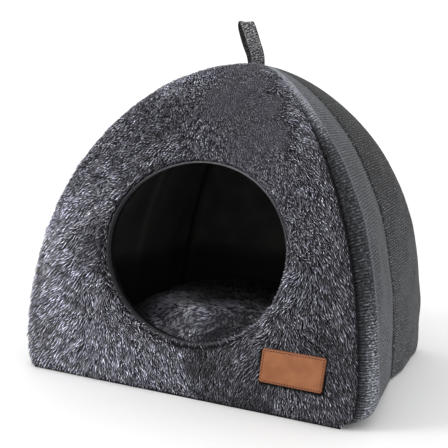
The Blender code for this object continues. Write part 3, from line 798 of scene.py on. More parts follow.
def take(entries, mask):
    return {key: value[mask] for key, value in entries.items()}


def spread_spots(low, high, spacing, seed):
    """Jittered staggered places over a rectangle."""
    rng = np.random.default_rng(seed)
    rows = np.arange(low[1], high[1], spacing * 0.866)
    columns = np.arange(low[0], high[0], spacing)
    x, up = np.meshgrid(columns, rows)
    x = x + (np.arange(len(rows)) % 2)[:, None] * spacing / 2
    spots = np.stack([x, up], -1).reshape(-1, 2)
    return spots + rng.uniform(-0.27, 0.27, spots.shape) * spacing


def front_spots(form, seed):
    """Places for clumps of one form on the flat front, outside the label."""
    low, high = (-HALF_WIDTH - 4, WALL_FOOT), (HALF_WIDTH, LENGTH_UPS[-1] - 2)
    x, up = spread_spots(low, high, form["spacing"], seed).T
    in_label = ((np.abs(x - LABEL_LOW[0] - LABEL_SIZE[0] / 2) < LABEL_SIZE[0] / 2 + 0.3)
                & (np.abs(up - LABEL_LOW[1] - LABEL_SIZE[1] / 2) < LABEL_SIZE[1] / 2 + 0.3))
    length = flow_at(x, up)[1] + np.random.default_rng(seed + 50).normal(0, FINE_BLEND, len(x))
    fits = length < FINE_BELOW if form is FINE else length >= FINE_BELOW
    kept = (door_distance(x, up) > 1.2) & (edge_distance(x, up) > 1.2) & ~in_label & fits
    return x[kept], up[kept]


def rim_spots():
    """Places just outside the doorway's edge."""
    rng = np.random.default_rng(5)
    turns = np.arange(0, 2 * math.pi, RIM["spacing"] * 2 * math.pi / DOOR_ROUND)
    angle = np.concatenate([turns, turns + RIM["shift"]])
    angle = angle + rng.uniform(-RIM["jitter"], RIM["jitter"], len(angle))
    return door_point(angle, -rng.uniform(*RIM["outside"], len(angle)))


def streaks(x, up, heading):
    """Unevenness that runs on along the pile and changes quickly across it."""
    total = 0
    for away in STREAK_STEPS:
        total = total + waves(x + away * np.cos(heading), up + away * np.sin(heading),
                              size=STREAK_PITCH, seed=28, count=40)
    return np.clip(STREAK_GAIN * total / len(STREAK_STEPS), -STREAK_LIMIT, STREAK_LIMIT)


def pile_clumps(x, up, form, seed, inwards=0.0):
    """Clumps that lie along the pile's flow; inwards turns them to the doorway."""
    rng = np.random.default_rng(seed)
    heading, length, painted_light = flow_at(x, up)
    from_edge = edge_distance(x, up)
    combed = np.interp(length, [9, 13], [1.0, 0.45])
    unruly = combed * (0.3 + 0.7 * np.clip((from_edge - 6) / 40, 0, 1))
    turned = 10 * waves(x, up, size=42, seed=21) + 9 * waves(x, up, size=14, seed=22)
    heading = heading + unruly * np.radians(turned)
    streak = streaks(x, up, heading)
    heading = heading + unruly * np.radians(rng.normal(0, 6, len(x)))
    uneven = 1 + 0.1 * waves(x, up, size=16, seed=23)
    length = PILE_SCALE * length * uneven * rng.uniform(0.88, 1.12, len(x))
    steep = 0.42 + 0.07 * waves(x, up, size=22, seed=24) + 0.07 * streak + rng.normal(0, 0.03, len(x))
    steep = np.clip(steep, 0.2, 0.7) * combed * (0.7 if form is FINE else 1.0)

    near = np.clip(1 - from_edge / 15, 0, 1) * np.where((x > 0) | (up < 40), 1.0, FREE_EDGE)
    length = length * (1 - 0.4 * near)
    steep = steep * (1 - 0.45 * near)
    east_share, rise_share = np.cos(heading) * (1 - 0.6 * near), np.sin(heading)
    to_door = unit(np.stack([DOOR_CENTRE[0] - x, DOOR_CENTRE[1] - up], -1))
    inwards = np.asarray(inwards)[..., None]
    flat_way = unit(np.stack([east_share, rise_share], -1) * (1 - inwards) + to_door * inwards)
    way = np.array([1.0, 0, 0]) * flat_way[:, :1] + front_rise(up) * flat_way[:, 1:]

    sink = PILE_SINK * np.clip(length, 2.5, 9) * quarter_roll(from_edge, PLUSH_TURN)
    depth = 0.3 if form is FINE else 1.15 - 0.3 * combed
    patchy = 0.1 * waves(x, up, size=15, seed=26) + depth * streak - depth ** 2 / 2
    # painted light and shade from the flow table, times the pile's own patchy, streaky tone
    bright = 1.1 * painted_light * np.exp(patchy + rng.normal(0, 0.14, len(x)))
    cool = 0.65 + 0.06 * waves(x, up, size=60, seed=27) + rng.normal(0, 0.2, len(x))
    return {
        "root": front_point(x, up, front_lift(x, up) - sink), "out": front_out(up), "way": way,
        "length": length * np.sqrt(1 - steep ** 2), "rise": length * steep,
        "curl": 0.5 * waves(x, up, size=9, seed=25), "spread": np.full(len(x), form["spread"]),
        "width": np.interp(length, [2.5, 6], [0.65, 1.05]),
        "bright": bright, "cool": np.clip(cool, 0, 1)}


def make_front_pile(material):
    """Long locks low down, fine short pile at the top, and the doorway's rim."""
    rng = np.random.default_rng(12)
    for word, form, seed in (("long", LOCK, 3), ("fine", FINE, 4)):
        x, up = front_spots(form, seed)
        clump = pile_clumps(x, up, form, seed + 10)
        turn = np.arctan2(up - DOOR_CENTRE[1], x - DOOR_CENTRE[0])
        sector = np.zeros(len(turn), int)
        sector[np.argsort(turn)] = np.arange(len(turn)) * form["pieces"] // len(turn)
        for i in range(form["pieces"]):
            hairs = clump_hairs(take(clump, sector == i), form["hairs"], rng)
            make_hairs(f"front_pile_{word}_{i + 1}", hairs, form, material)
    x, up = rim_spots()
    low_share = 0.5 - 0.5 * (up - DOOR_CENTRE[1]) / DOOR_HALF[1]
    clump = pile_clumps(x, up, LOCK, 15, inwards=0.2 + 0.55 * low_share)
    clump["bright"] = clump["bright"] * (0.65 + 0.25 * low_share)
    make_hairs("front_pile_rim", clump_hairs(clump, LOCK["hairs"], rng), LOCK, material)


# -------------------------------------------------------------- front panel
def make_front_body(material):
    """The padded front under the pile: its cloth lies at the pile's roots."""
    rows = np.unique(np.round(rising_rows(52), 4))
    edge = front_outline(rows, 48, 6)
    x0, up0 = door_point(door_angles(edge))
    x1, up1 = edge[:, 0], up_at(edge[:, 1])
    length = np.hypot(x1 - x0, up1 - up0)[:, None]
    first = DOOR_TURN / length * eased(7)
    last = 1 - PLUSH_TURN / length * eased(7)[::-1]
    middle = np.linspace(first[:, -1], last[:, 0], 14).T[:, 1:-1]
    t = np.concatenate([first, middle, last], 1)
    x = x0[:, None] + (x1 - x0)[:, None] * t
    up = up0[:, None] + (up1 - up0)[:, None] * t
    pile = flow_at(x, up)[1]
    sink = (PILE_SINK * np.clip(pile, 3, 11) + 0.3) * quarter_roll(edge_distance(x, up), PLUSH_TURN)
    outer = front_point(x, up, front_lift(x, up) - sink)

    inner_edge = np.interp(edge[:, 1], rows, inner_seam(("front", "right"), rows)[:, 0])
    inner_x = np.sign(x1) * np.minimum(np.abs(x1), inner_edge)
    back_t = np.linspace(0, 1, 5)[None, :]
    inner = inside_point(*front_inside((x0, up0), (inner_x, up1), back_t, WALL), WALL)
    rings = np.concatenate([outer, inner[:, ::-1]], 1)
    count, stations = rings.shape[:2]
    spots = np.arange(stations * count).reshape(stations, count)
    faces = np.concatenate([grid_faces(stations, count, wrap=True, flip=True),
                            strip_faces(spots[-1], spots[0], wrap=True)[:, ::-1]])
    made = new_mesh("front_body", rings.transpose(1, 0, 2), [faces], material)
    tone = tone_array((stations, count))
    tone[:t.shape[1], :, 0] = 0.8 * ramp_down(pile, 4, 7).T
    set_tone(made, tone)
    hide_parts("front_panel")


# -------------------------------------------------------- side and back walls
def end_form(name):
    place, side = name
    return ENDS[f"front {side}" if place == "front" else place]


def repeat_last(values):
    """Carries a wall's last row on over the rows of its tip."""
    return np.concatenate([values] + [values[-1:]] * len(TIP_SHARES))


def wall_grids(start, end, facing, seed):
    """Outer and inner points of a padded wall, and where they are on its cloth."""
    rows = wall_rows()[:, None]
    size = half_width if facing[0] else half_depth
    forms = end_form(start), end_form(end)
    first, last = outer_seam(start, rows[:, 0]), outer_seam(end, rows[:, 0])
    length = np.linalg.norm(last - first, axis=1)[:, None]
    reach = [np.minimum(form["turn"], TURN_LIMIT * length) for form in forms]
    head, tail = reach[0] / length * eased(9), 1 - reach[1] / length * eased(9)[::-1]
    ridge_at = reach[0] / length + np.array(RIDGE_STEPS) / np.maximum(length, RIDGE_LEAST)
    middle = np.linspace(ridge_at[:, -1], tail[:, 0], 18).T[:, 1:-1]
    t = np.concatenate([head, ridge_at, middle, tail], 1)
    t = 0.5 * GAP / length + t * (1 - GAP / length)
    from_start, from_end = t * length, (1 - t) * length

    edge = np.minimum(quarter_roll(from_start, reach[0]), quarter_roll(from_end, reach[1]))
    soft = softness(rows, END_SOFT, END_POWER)
    lifts = [form["roll"] * soft * (1 - form["ease"] * fold(rows)) for form in forms]
    crown = CROWN * softness(rows, END_SOFT)
    lift = (lifts[0] * (1 - t) + lifts[1] * t + crown * 4 * t * (1 - t)) * edge
    up = up_at(rows) + 0 * t
    from_seam = np.minimum(from_start, from_end)
    gathered = np.sin(2 * math.pi * up / PUCKER_PITCH + 1.4 * waves(up, up, size=60, seed=seed))
    pucker = 0.5 * np.exp(-from_seam / 7) * gathered
    slack = 0.7 * waves((t - 0.5) * length, up, size=70, seed=seed + 1) * (1 - np.exp(-from_seam / 18))
    pinch = 0.9 if start[0] == "front" else 0.0
    crease = pinch * bell(from_start - reach[0] - 0.8, 1.1)
    lift = lift + (pucker + slack + crease) * edge * soft

    angle, rise = lean(rows, size), np.array([0, 0, 1.0])
    out = facing * np.cos(angle)[..., None] + rise * np.sin(angle)[..., None]
    raised = FOOT_LIFT * fold(rows) * edge * (forms[0]["ease"] > 0) * (1 - t)
    outer = (first[:, None] * (1 - t[..., None]) + last[:, None] * t[..., None]
             + out * lift[..., None] + rise * raised[..., None])
    low, high = inner_seam(start, rows[:, 0]), inner_seam(end, rows[:, 0])
    inner = low[:, None] * (1 - t[..., None]) + high[:, None] * t[..., None]
    grids = []
    for grid, level in ((outer, HEIGHT - SLOT_RIM_DROP), (inner, HEIGHT - WALL)):
        rim = slot_edge(grid[-1], level)
        tip = [grid[-1] * (1 - share) + rim * share for share in TIP_SHARES]
        grids.append(np.concatenate([grid, np.stack(tip)]))
    run = np.cumsum(np.linalg.norm(np.diff(grids[0], axis=1), axis=2), axis=1)
    places = {
        "run": np.concatenate([0 * run[:, :1], run], 1),
        "up": np.concatenate([up, up[-1:] + TIP_RISE * np.arange(1, len(TIP_SHARES) + 1)[:, None]]),
        "from_start": repeat_last(from_start), "from_end": repeat_last(from_end),
        "crest": repeat_last(from_start - reach[0])}
    return *grids, places


def wall_tone(start, places):
    """Flecks, brightness with painted light and shade, seam distance and a painted highlight along the
    ridge, over one wall.
    """
    run, up, crest = places["run"], places["up"], places["crest"]
    edge = 0
    if start[0] == "front":
        strip, low = ramp_down(crest, -1.5, 0.8), ramp_down(up, 30, 150)
        top = ramp_down(-up, -370, -270)
        on_ridge = run / run[:, RIDGE_COLUMN:RIDGE_COLUMN + 1]
        # painted shade in the valley between the plush and the ridge, less towards the top
        valley_shade = ramp_down(on_ridge, 0.15, 0.5) * (1 - 0.8 * top)
        # painted light: the strip's flecks and the smooth cloth are made paler low down and at the top
        flecks = 0.3 + strip * (1 - valley_shade) * (0.1 + 1.9 * low + 3.2 * top) - 0.2 * strip
        smooth = 0.66 + 0.46 * ramp_down(up, 60, 170) + 0.9 * ramp_down(-up, -400, -250)
        dark = (0.42 + 1.3 * low + 2.7 * top) * (1 - 0.6 * valley_shade)
        bright = strip * dark + (1 - strip) * smooth
        # painted highlight: a pale line along the ridge, laid on in the fleck colour
        edge = 0.3 * bell(crest - 0.6, 1.1)
        seam = places["from_end"]
    else:
        # painted shade: the back walls are made darker and less flecked towards the top
        flecks = 0.45 - 0.2 * ramp_down(-up, -250, -60)
        bright = 0.6 - 0.45 * ramp_down(-up, -280, -60)
        seam = places["from_start"]
        if start[0] == "back":
            seam = np.minimum(seam, places["from_end"])
    return tone_array(run.shape, flecks, bright, np.clip(seam / SEAM_RANGE, 0, 1), edge)


def wall_panel(name, start, end, facing, material, seed):
    outer, inner, places = wall_grids(start, end, np.array(facing, float), seed)
    made = new_mesh(name + "_cloth", np.stack([outer, inner]), [shell_faces(*outer.shape[:2])],
                    material)
    set_flat(made, np.stack([np.stack([places["run"], places["up"]], -1)] * 2))
    set_tone(made, np.stack([wall_tone(start, places)] * 2))
    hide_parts(name)


def make_walls(smooth, ribbed):
    for side, sign in SIDES.items():
        front, middle, back = ((place, side) for place in ("front", "middle", "back"))
        wall_panel(f"side_{side}_front", front, middle, (sign, 0, 0), smooth, 30 + sign)
        wall_panel(f"side_{side}_back", middle, back, (sign, 0, 0), ribbed, 40 + sign)
    wall_panel("back_panel", ("back", "right"), ("back", "left"), (0, 1, 0), ribbed, 50)


# ------------------------------------------------------------- small pieces
def make_binding(material):
    """The turned edge of the doorway: a soft rounded tape, a little puckered."""
    count, sides = 300, 14
    angle = np.linspace(0, 2 * math.pi, count, endpoint=False)[:, None]
    turn = np.linspace(0, 2 * math.pi, sides, endpoint=False)[None, :]
    round_x, round_y = (np.sign(wave) * np.abs(wave) ** 0.8 for wave in (np.cos(turn), np.sin(turn)))
    pucker = 1 + 0.07 * np.sin(angle * 75 + 2 * np.sin(angle * 3)) + 0.05 * np.sin(angle * 31)
    inward = GAP + 0.7 * BINDING_WIDTH * (0.5 + 0.5 * round_x * np.minimum(pucker, 1.0))
    x, up = door_point(angle, inward)
    points = front_point(x, up, 0 * x)
    points[..., 1] += BINDING_DEPTH * np.maximum(0.5 * round_y * pucker, -0.3)
    ring = np.arange(sides)
    faces = np.concatenate([grid_faces(count, sides, wrap=True),
                            strip_faces(ring + (count - 1) * sides, ring, wrap=True)])
    made = new_mesh("doorway_tape", points, [faces], material)
    run = np.cumsum(np.full(count, 2.25))[:, None] + 0 * turn
    set_flat(made, np.stack([run, sides * turn / (2 * math.pi) + 0 * angle], -1))
    # painted highlight: the tape is made pale along the doorway's top, most on its outer side
    pale = ramp_down(-np.sin(angle), -0.95, -0.5) * (0.6 - 0.4 * np.cos(turn))
    set_tone(made, tone_array((count, sides), pale))
    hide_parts("doorway_binding")


def smooth_course(points, steps):
    """Catmull-Rom points through the given ones."""
    points = np.array(points, float)
    padded = np.concatenate([2 * points[:1] - points[1:2], points, 2 * points[-1:] - points[-2:-1]])
    course = []
    for a, b, c, d in zip(padded, padded[1:], padded[2:], padded[3:]):
        for t in np.arange(steps) / steps:
            course.append(0.5 * (2 * b + (c - a) * t + (2 * a - 5 * b + 4 * c - d) * t ** 2
                                 + (3 * b - a - 3 * c + d) * t ** 3))
    course.append(points[-1])
    return np.array(course)


def run_along(points):
    """How far each point is along its line from the first one."""
    return np.concatenate([[0], np.cumsum(np.linalg.norm(np.diff(points, axis=0), axis=1))])


def make_strap(material):
    """The carrying loop: a flat woven tape with rolled, stitched edges."""
    turn = math.radians(STRAP_TURN_DEG)
    across = np.array([math.cos(turn), math.sin(turn), 0])
    through = np.array([math.sin(turn), -math.cos(turn), 0])
    root = np.array([*SLOT_CENTRE, HEIGHT])
    course = smooth_course([root + across * k["across"] + through * k["through"]
                            + np.array([0, 0, k["up"]]) for k in STRAP_COURSE], 12)
    ahead = unit(np.gradient(course, axis=0))
    wide = unit(across - ahead * (ahead @ across)[:, None])
    thick = np.cross(ahead, wide)
    run = run_along(course)
    spots = np.linspace(-1, 1, 21)
    swell = 0.82 + 0.18 * bell(np.abs(spots) - 0.86, 0.1)
    upper = np.stack([spots, (1 - np.abs(spots) ** 10) ** 0.5 * swell], -1)
    section = np.concatenate([upper, (upper * [1, -1])[-2:0:-1]])
    wobble = 0.12 * np.sin(run / 2.3)[:, None] * bell(np.abs(section[:, 0]) - 0.8, 0.25)
    sideways = section[None, :, 0] * STRAP_WIDTH / 2
    points = (course[:, None] + wide[:, None] * sideways[..., None] + thick[:, None]
              * (section[None, :, 1:] * STRAP_THICKNESS / 2 * (1 - wobble[..., None])))
    rows, columns = points.shape[:2]
    half = columns // 2
    faces = [grid_faces(rows, columns, wrap=True, flip=True)]
    for start, step in ((0, -1), ((rows - 1) * columns, 1)):
        ring = np.arange(columns) + start
        top, low = ring[1:half], np.roll(ring[half:], -1)[::-1][:half - 1]
        faces.append(strip_faces(top, low)[:, ::step])
    made = new_mesh("strap_tape", points, [np.concatenate(faces)], material)
    set_flat(made, np.stack(np.broadcast_arrays(sideways, run[:, None]), -1))
    # painted shade: the loop's inner face is made dark and almost unflecked
    loop_side = (np.arange(columns) < half)[None, :]
    seam_line = bell(run - run[-1] * 0.42, 1.5)[:, None]
    # painted highlight: a pale line along one edge of the outer face
    edge = bell(np.abs(section[:, 0]) - 0.98, 0.05)[None] * ~loop_side * (section[None, :, 0] < 0)
    set_tone(made, tone_array((rows, columns), np.where(loop_side, 0.1, 0.65),
                              np.where(loop_side, 0.2, 1.1 - 0.5 * seam_line), 1.0, 0.7 * edge))
    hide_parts("strap_loop")


def label_place(u, v, lift):
    """A point over the label: u and v run from 0 to 1 across and up it."""
    up = LABEL_LOW[1] + LABEL_SIZE[1] * v
    x = LABEL_LOW[0] + LABEL_SIZE[0] * u + LABEL_LEAN * (v - 0.5)
    face = front_point(x, up, plush_lift(share_at(up)) + front_swell(x, up))
    face[..., 1] -= lift
    return face


def make_label(material):
    """A leather patch with rounded corners and eased edges."""
    (wide, high), rows, columns = np.array(LABEL_SIZE) / 2, 32, 56
    x, y = np.meshgrid(np.linspace(-wide, wide, columns), np.linspace(-high, high, rows))
    out_x = np.maximum(np.abs(x) - (wide - LABEL_CORNER), 0)
    out_y = np.maximum(np.abs(y) - (high - LABEL_CORNER), 0)
    at_corner = out_x * out_y > 0
    reach = np.maximum(np.hypot(out_x, out_y), 1e-9)
    pull = np.where(at_corner, np.maximum(out_x, out_y) / reach, 1.0)
    x = np.sign(x) * (np.abs(x) - out_x + out_x * pull)
    y = np.sign(y) * (np.abs(y) - out_y + out_y * pull)
    rounded = LABEL_CORNER - np.hypot(np.maximum(np.abs(x) - wide + LABEL_CORNER, 0),
                                      np.maximum(np.abs(y) - high + LABEL_CORNER, 0))
    straight = np.minimum(wide - np.abs(x), high - np.abs(y))
    from_edge = np.where(at_corner, rounded, straight).clip(0)
    dip = 0.28 * bell(from_edge - 2.4, 0.7)
    bulge = 0.25 * waves(x, y, size=45, seed=61) * np.clip(from_edge / 6, 0, 1)
    rolled = 0.35 + 0.65 * quarter_roll(from_edge, 1.1)
    top = LABEL_GAP + LABEL_THICKNESS * rolled - dip + bulge
    u, v = x / LABEL_SIZE[0] + 0.5, y / LABEL_SIZE[1] + 0.5
    points = np.stack([label_place(u, v, top), label_place(u, v, LABEL_GAP + 0 * top)])
    made = new_mesh("label_leather", points, [shell_faces(rows, columns)], material)
    set_flat(made, np.stack([np.stack([x, y], -1)] * 2))
    set_tone(made, tone_array((2, rows, columns), from_edge / 10))
    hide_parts("label_patch")


def make_stitches(material):
    """A run of stitches round the label, a little inside its edge."""
    half, round_in = np.array(LABEL_SIZE) / 2, LABEL_CORNER - STITCH["inset"]
    path = []
    for sign_x, sign_y in ((1, -1), (1, 1), (-1, 1), (-1, -1)):
        middle = (half - LABEL_CORNER) * (sign_x, sign_y)
        start = math.atan2(sign_y, sign_x) - math.pi / 4
        for angle in np.linspace(start, start + math.pi / 2, 7):
            path.append(middle + round_in * np.array([math.cos(angle), math.sin(angle)]))
    path = np.array(path + path[:1])
    run = run_along(path)
    count = int(run[-1] // STITCH["pitch"])
    s = np.arange(count)[:, None] * run[-1] / count + np.linspace(0, STITCH["length"], 5)[None]
    line = np.stack([np.interp(s % run[-1], run, path[:, k]) for k in (0, 1)], -1)
    ahead = unit(np.gradient(line, axis=1))
    side = np.stack([-ahead[..., 1], ahead[..., 0]], -1)
    swell = np.array([0.35, 0.9, 1.0, 0.9, 0.35])[None, :]
    level = LABEL_GAP + LABEL_THICKNESS - STITCH["sunk"]
    points = []
    for angle in np.linspace(0, 2 * math.pi, 6, endpoint=False):
        place = line + side * (STITCH["half"] * math.cos(angle) * swell)[..., None]
        points.append(label_place(place[..., 0] / LABEL_SIZE[0] + 0.5,
                                  place[..., 1] / LABEL_SIZE[1] + 0.5,
                                  level + STITCH["lift"] * swell * math.sin(angle)))
    ends = np.array([[5, 4, 3, 2, 1, 0], [24, 25, 26, 27, 28, 29]])
    faces = [repeat_faces(kind, count, 30) for kind in (grid_faces(5, 6, wrap=True), ends)]
    new_mesh("label_stitches", np.stack(points, 2), faces, material)


def make_base(material):
    """The stiffened floor: a thin slab of black cloth with a rounded edge."""
    outline = []
    for start, end, columns in zip((SEAMS[-1], *SEAMS), SEAMS, (40, 16, 16, 34, 16, 16)):
        first, last = outer_seam(start, np.array(0.0)), outer_seam(end, np.array(0.0))
        outline += [first + (last - first) * i / columns for i in range(columns)]
    outline, middle = np.array(outline), BASE_THICKNESS / 2
    count = len(outline)
    rings = []
    for turn in np.radians(np.linspace(-90, 90, 7)):
        out = 1 + (-0.2 + 0.9 * math.cos(turn)) / HALF_WIDTH
        level = np.full(count, middle + middle * math.sin(turn))
        rings.append(np.stack([outline[:, 0] * out, outline[:, 1] * out, level], -1))
    # the upper face dips a little between its edge and its middle
    near, far = np.array([0.8, 0.8, 1]), np.array([0.4, 0.4, 1])
    rings = [rings[0] * far, rings[0] * near, *rings, rings[-1] * near, rings[-2] * far]
    low, high = len(rings) * count, len(rings) * count + 1
    spots = np.arange(count)
    ends = np.concatenate([fan_faces(spots, low)[:, ::-1],
                           fan_faces(spots + (len(rings) - 1) * count, high)])
    points = np.concatenate([*rings, [[0, 0, 0], [0, 0, BASE_THICKNESS]]])
    faces = [grid_faces(len(rings), count, wrap=True), ends]
    made = new_mesh("base_cloth_slab", points, faces, material)
    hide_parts("base")


# ------------------------------------------------------------------- lining
def lining_wall(start, end, rows, columns, seed):
    """One inner wall with its slack, and its tones."""
    first, last = inner_seam(start, rows, INSIDE), inner_seam(end, rows, INSIDE)
    t = np.linspace(0, 1, columns)[None, :, None]
    run = last - first
    inward = unit(np.stack([-run[:, 1], run[:, 0], 0 * run[:, 0]], -1))[:, None]
    length = np.linalg.norm(run, axis=1)[:, None, None]
    between = np.minimum(t, 1 - t) * length
    uneven = waves(t * length, rows[:, None, None] * 300, size=80, seed=seed)
    slack = 1.2 * (1 - np.exp(-between / 12)) * (1 + 0.35 * uneven.clip(-2, 2))
    grid = first[:, None] * (1 - t) + last[:, None] * t + inward * slack
    tone = tone_array(grid.shape[:2])
    for (place, _), away in ((start, t), (end, 1 - t)):
        channel = {"middle": 0, "back": 1}.get(place, 3)
        tone[..., channel] += np.exp(-(away * length)[..., 0] / 2)
    # painted shade: darker low down and towards the right
    tone[..., 2] = np.maximum(0.9 * ramp_down(grid[..., 2], 106, 122),
                              0.5 * ramp_down(-grid[..., 0], -150, -20))
    return grid, tone.reshape(-1, 4)


def lining_front(rows):
    """The inner front, from the doorway's edge to the corner seams."""
    right = np.stack([inner_seam(("front", "right"), rows, INSIDE)[:, 0], rows], -1)
    edge = closed_edge(right * [-1, 1], right, 24, 4)
    door = door_point(door_angles(front_outline(rows, 24, 4)), -LINING_TUCK)
    t = np.linspace(0, 1, 9)[None, :]
    x, share = front_inside(door, (edge[:, 0], up_at(edge[:, 1])), t, INSIDE)
    share[:, -1] = edge[:, 1]
    return inside_point(x, share, INSIDE).transpose(1, 0, 2)


def make_lining(material):
    """The inner cloth, drawn in along its seams, with shallow slack between."""
    rows = wall_rows(44, 6)
    grids, tones, faces, total = [], [], [], 0
    for number, (start, end) in enumerate(zip(SEAMS, SEAMS[1:])):
        columns = 14 if start[1] == end[1] else 20
        grid, tone = lining_wall(start, end, rows, columns, 70 + number)
        faces.append(grid_faces(len(rows), columns, start=total, flip=True))
        grids.append(grid)
        tones.append(tone)
        total += len(tone)
    front = lining_front(rows)
    faces.append(grid_faces(*front.shape[:2], wrap=True, start=total, flip=True))
    total += front.shape[0] * front.shape[1]
    crest = [grid[-1][:-1] for grid in grids]
    crest.append(np.linspace(inner_seam(SEAMS[-1], rows[-1], INSIDE),
                             inner_seam(SEAMS[0], rows[-1], INSIDE), 5)[:-1])
    crest = np.concatenate(crest)
    top = fan_faces(np.arange(len(crest)) + total, total + len(crest))[:, ::-1]
    parts = [part.reshape(-1, 3) for part in (*grids, front, crest)]
    points = np.concatenate([*parts, [[0, 0, height(1.0, INSIDE)]]])
    made = new_mesh("lining_cloth", points, [np.concatenate(faces), top], material)
    tone = tone_array((len(points),))
    tones = np.concatenate(tones)
    tone[:len(tones)] = tones
    set_tone(made, tone)
    weld = made.modifiers.new("Weld", "WELD")
    weld.merge_threshold = 0.05 * MM
    solid = made.modifiers.new("Cloth", "SOLIDIFY")
    solid.thickness = LINING_CLOTH * MM
    solid.offset = -1
    apply_modifiers(made)
    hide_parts("lining")


def apply_modifiers(made):
    """Bakes an object's modifiers into its mesh."""
    graph = bpy.context.evaluated_depsgraph_get()
    finished = bpy.data.meshes.new_from_object(made.evaluated_get(graph))
    made.modifiers.clear()
    made.data = finished


# ------------------------------------------------------------------ cushion
def read_points(mesh):
    points = np.zeros(len(mesh.vertices) * 3)
    mesh.vertices.foreach_get("co", points)
    return points.reshape(-1, 3) / MM


def write_points(mesh, points):
    mesh.vertices.foreach_set("co", (points * MM).ravel())
    mesh.update()


def brush_and_light(x, y):
    """Direction and painted light and shade of the cushion's pile."""
    return blend(CUSHION_BRUSH_AND_LIGHT, x, y, **CUSHION_NEARNESS)


def make_cushion(material):
    """A stuffed plush pad, swollen by a cloth simulation from its CAD shape."""
    pad = bpy.data.objects.new("cushion_pad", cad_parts["cushion"].data.copy())
    bpy.context.scene.collection.objects.link(pad)
    points = read_points(pad.data)
    centre = (points.min(0) + points.max(0)) / 2
    write_points(pad.data, centre + (points - centre) * CUSHION_SHRINK)
    remesh = pad.modifiers.new("Remesh", "REMESH")
    remesh.mode = "VOXEL"
    remesh.voxel_size = CUSHION_VOXEL * MM
    apply_modifiers(pad)
    rest = read_points(pad.data)
    swell_pad(pad)
    step = read_points(pad.data) - rest
    far = np.linalg.norm(step, axis=1, keepdims=True)
    moved = rest + step * np.minimum(1, CUSHION_CAP / np.maximum(far, 1e-6))
    low, high = (np.array(corner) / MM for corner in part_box("cushion"))
    moved = np.clip(moved, low + [GAP, GAP, 0.0], high - [GAP, GAP, 0.0])
    write_points(pad.data, moved)
    smooth = pad.modifiers.new("Smooth", "SUBSURF")
    smooth.levels = smooth.render_levels = 1
    apply_modifiers(pad)
    pad.data.materials.clear()
    pad.data.materials.append(material)
    for polygon in pad.data.polygons:
        polygon.use_smooth = True
    # painted light and shade: the pad's backing is made paler where the table pools light
    painted_light = brush_and_light(*read_points(pad.data)[:, :2].T)[1]
    set_tone(pad, tone_array(painted_light.shape, np.clip(0.5 * painted_light, 0, 0.8)))
    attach(pad, "root")
    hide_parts("cushion")
    return pad


def swell_pad(pad):
    """Inflates the pad a little as cloth and keeps the result."""
    settings = pad.modifiers.new("Cloth", "CLOTH").settings
    settings.use_pressure = True
    settings.uniform_pressure_force = CUSHION_PRESSURE
    settings.effector_weights.gravity = 0
    scene = bpy.context.scene
    for number in range(1, CUSHION_FRAMES + 1):
        scene.frame_set(number)
    apply_modifiers(pad)
    scene.frame_set(1)


def cushion_clumps(pad):
    """Pile on the cushion's top, combed into curving streaks, its brightness painted light and shade.
    """
    rng = np.random.default_rng(81)
    mesh = pad.data
    mesh.calc_loop_triangles()
    corners = np.zeros(len(mesh.loop_triangles) * 3, np.int32)
    mesh.loop_triangles.foreach_get("vertices", corners)
    triangles = read_points(mesh)[corners.reshape(-1, 3)]
    square = np.cross(triangles[:, 1] - triangles[:, 0], triangles[:, 2] - triangles[:, 0])
    area = np.linalg.norm(square, axis=1) / 2
    normal = unit(square)
    area[(normal[:, 2] < PILE_FACES_UP) | (triangles[:, :, 2].min(1) < PILE_FROM)] = 0
    chosen = rng.choice(len(area), CUSHION_PILE["clumps"], p=area / area.sum())
    a, b = rng.uniform(0, 1, (2, CUSHION_PILE["clumps"]))
    flip = a + b > 1
    a, b = np.where(flip, 1 - a, a)[:, None], np.where(flip, 1 - b, b)[:, None]
    tri, out = triangles[chosen], normal[chosen]
    root = tri[:, 0] * (1 - a - b) + tri[:, 1] * a + tri[:, 2] * b
    x, y = root[:, 0], root[:, 1]
    heading, painted_light = brush_and_light(x, y)
    heading = heading + np.radians(28 * waves(x, y, size=32, seed=83) + rng.normal(0, 7, len(x)))
    way = np.stack([np.cos(heading), np.sin(heading), 0 * heading], -1)
    way = unit(way - out * (way * out).sum(1)[:, None])
    length = CUSHION_PILE["length"] * rng.uniform(0.8, 1.2, len(x))
    steep = np.clip(0.22 + 0.06 * waves(x, y, size=40, seed=84), 0.1, 0.4)
    patchy = 0.2 * waves(x, y, size=28, seed=86) + rng.normal(0, 0.16, len(x))
    # bright is painted light and shade, times random patches of tone
    return {
        "root": root - out * CUSHION_PILE["sunk"], "out": out, "way": way,
        "length": length * np.sqrt(1 - steep ** 2), "rise": length * steep,
        "curl": 1.2 * waves(x, y, size=14, seed=85),
        "spread": np.full(len(x), CUSHION_PILE["spread"]),
        "width": np.full(len(x), CUSHION_PILE["width"]), "bright": painted_light * np.exp(patchy),
        "cool": np.clip(0.5 + 0.2 * waves(x, y, size=60, seed=87), 0, 1)}


def make_cushion_pile(pad, material):
    hairs = clump_hairs(cushion_clumps(pad), CUSHION_PILE["hairs"], np.random.default_rng(88))
    order = np.argsort(hairs["root"][:, 0])
    for i, part in enumerate(np.array_split(order, CUSHION_PILE["pieces"])):
        make_hairs(f"cushion_pile_{i + 1}", take(hairs, part), FINE, material, root_tone=0.4)


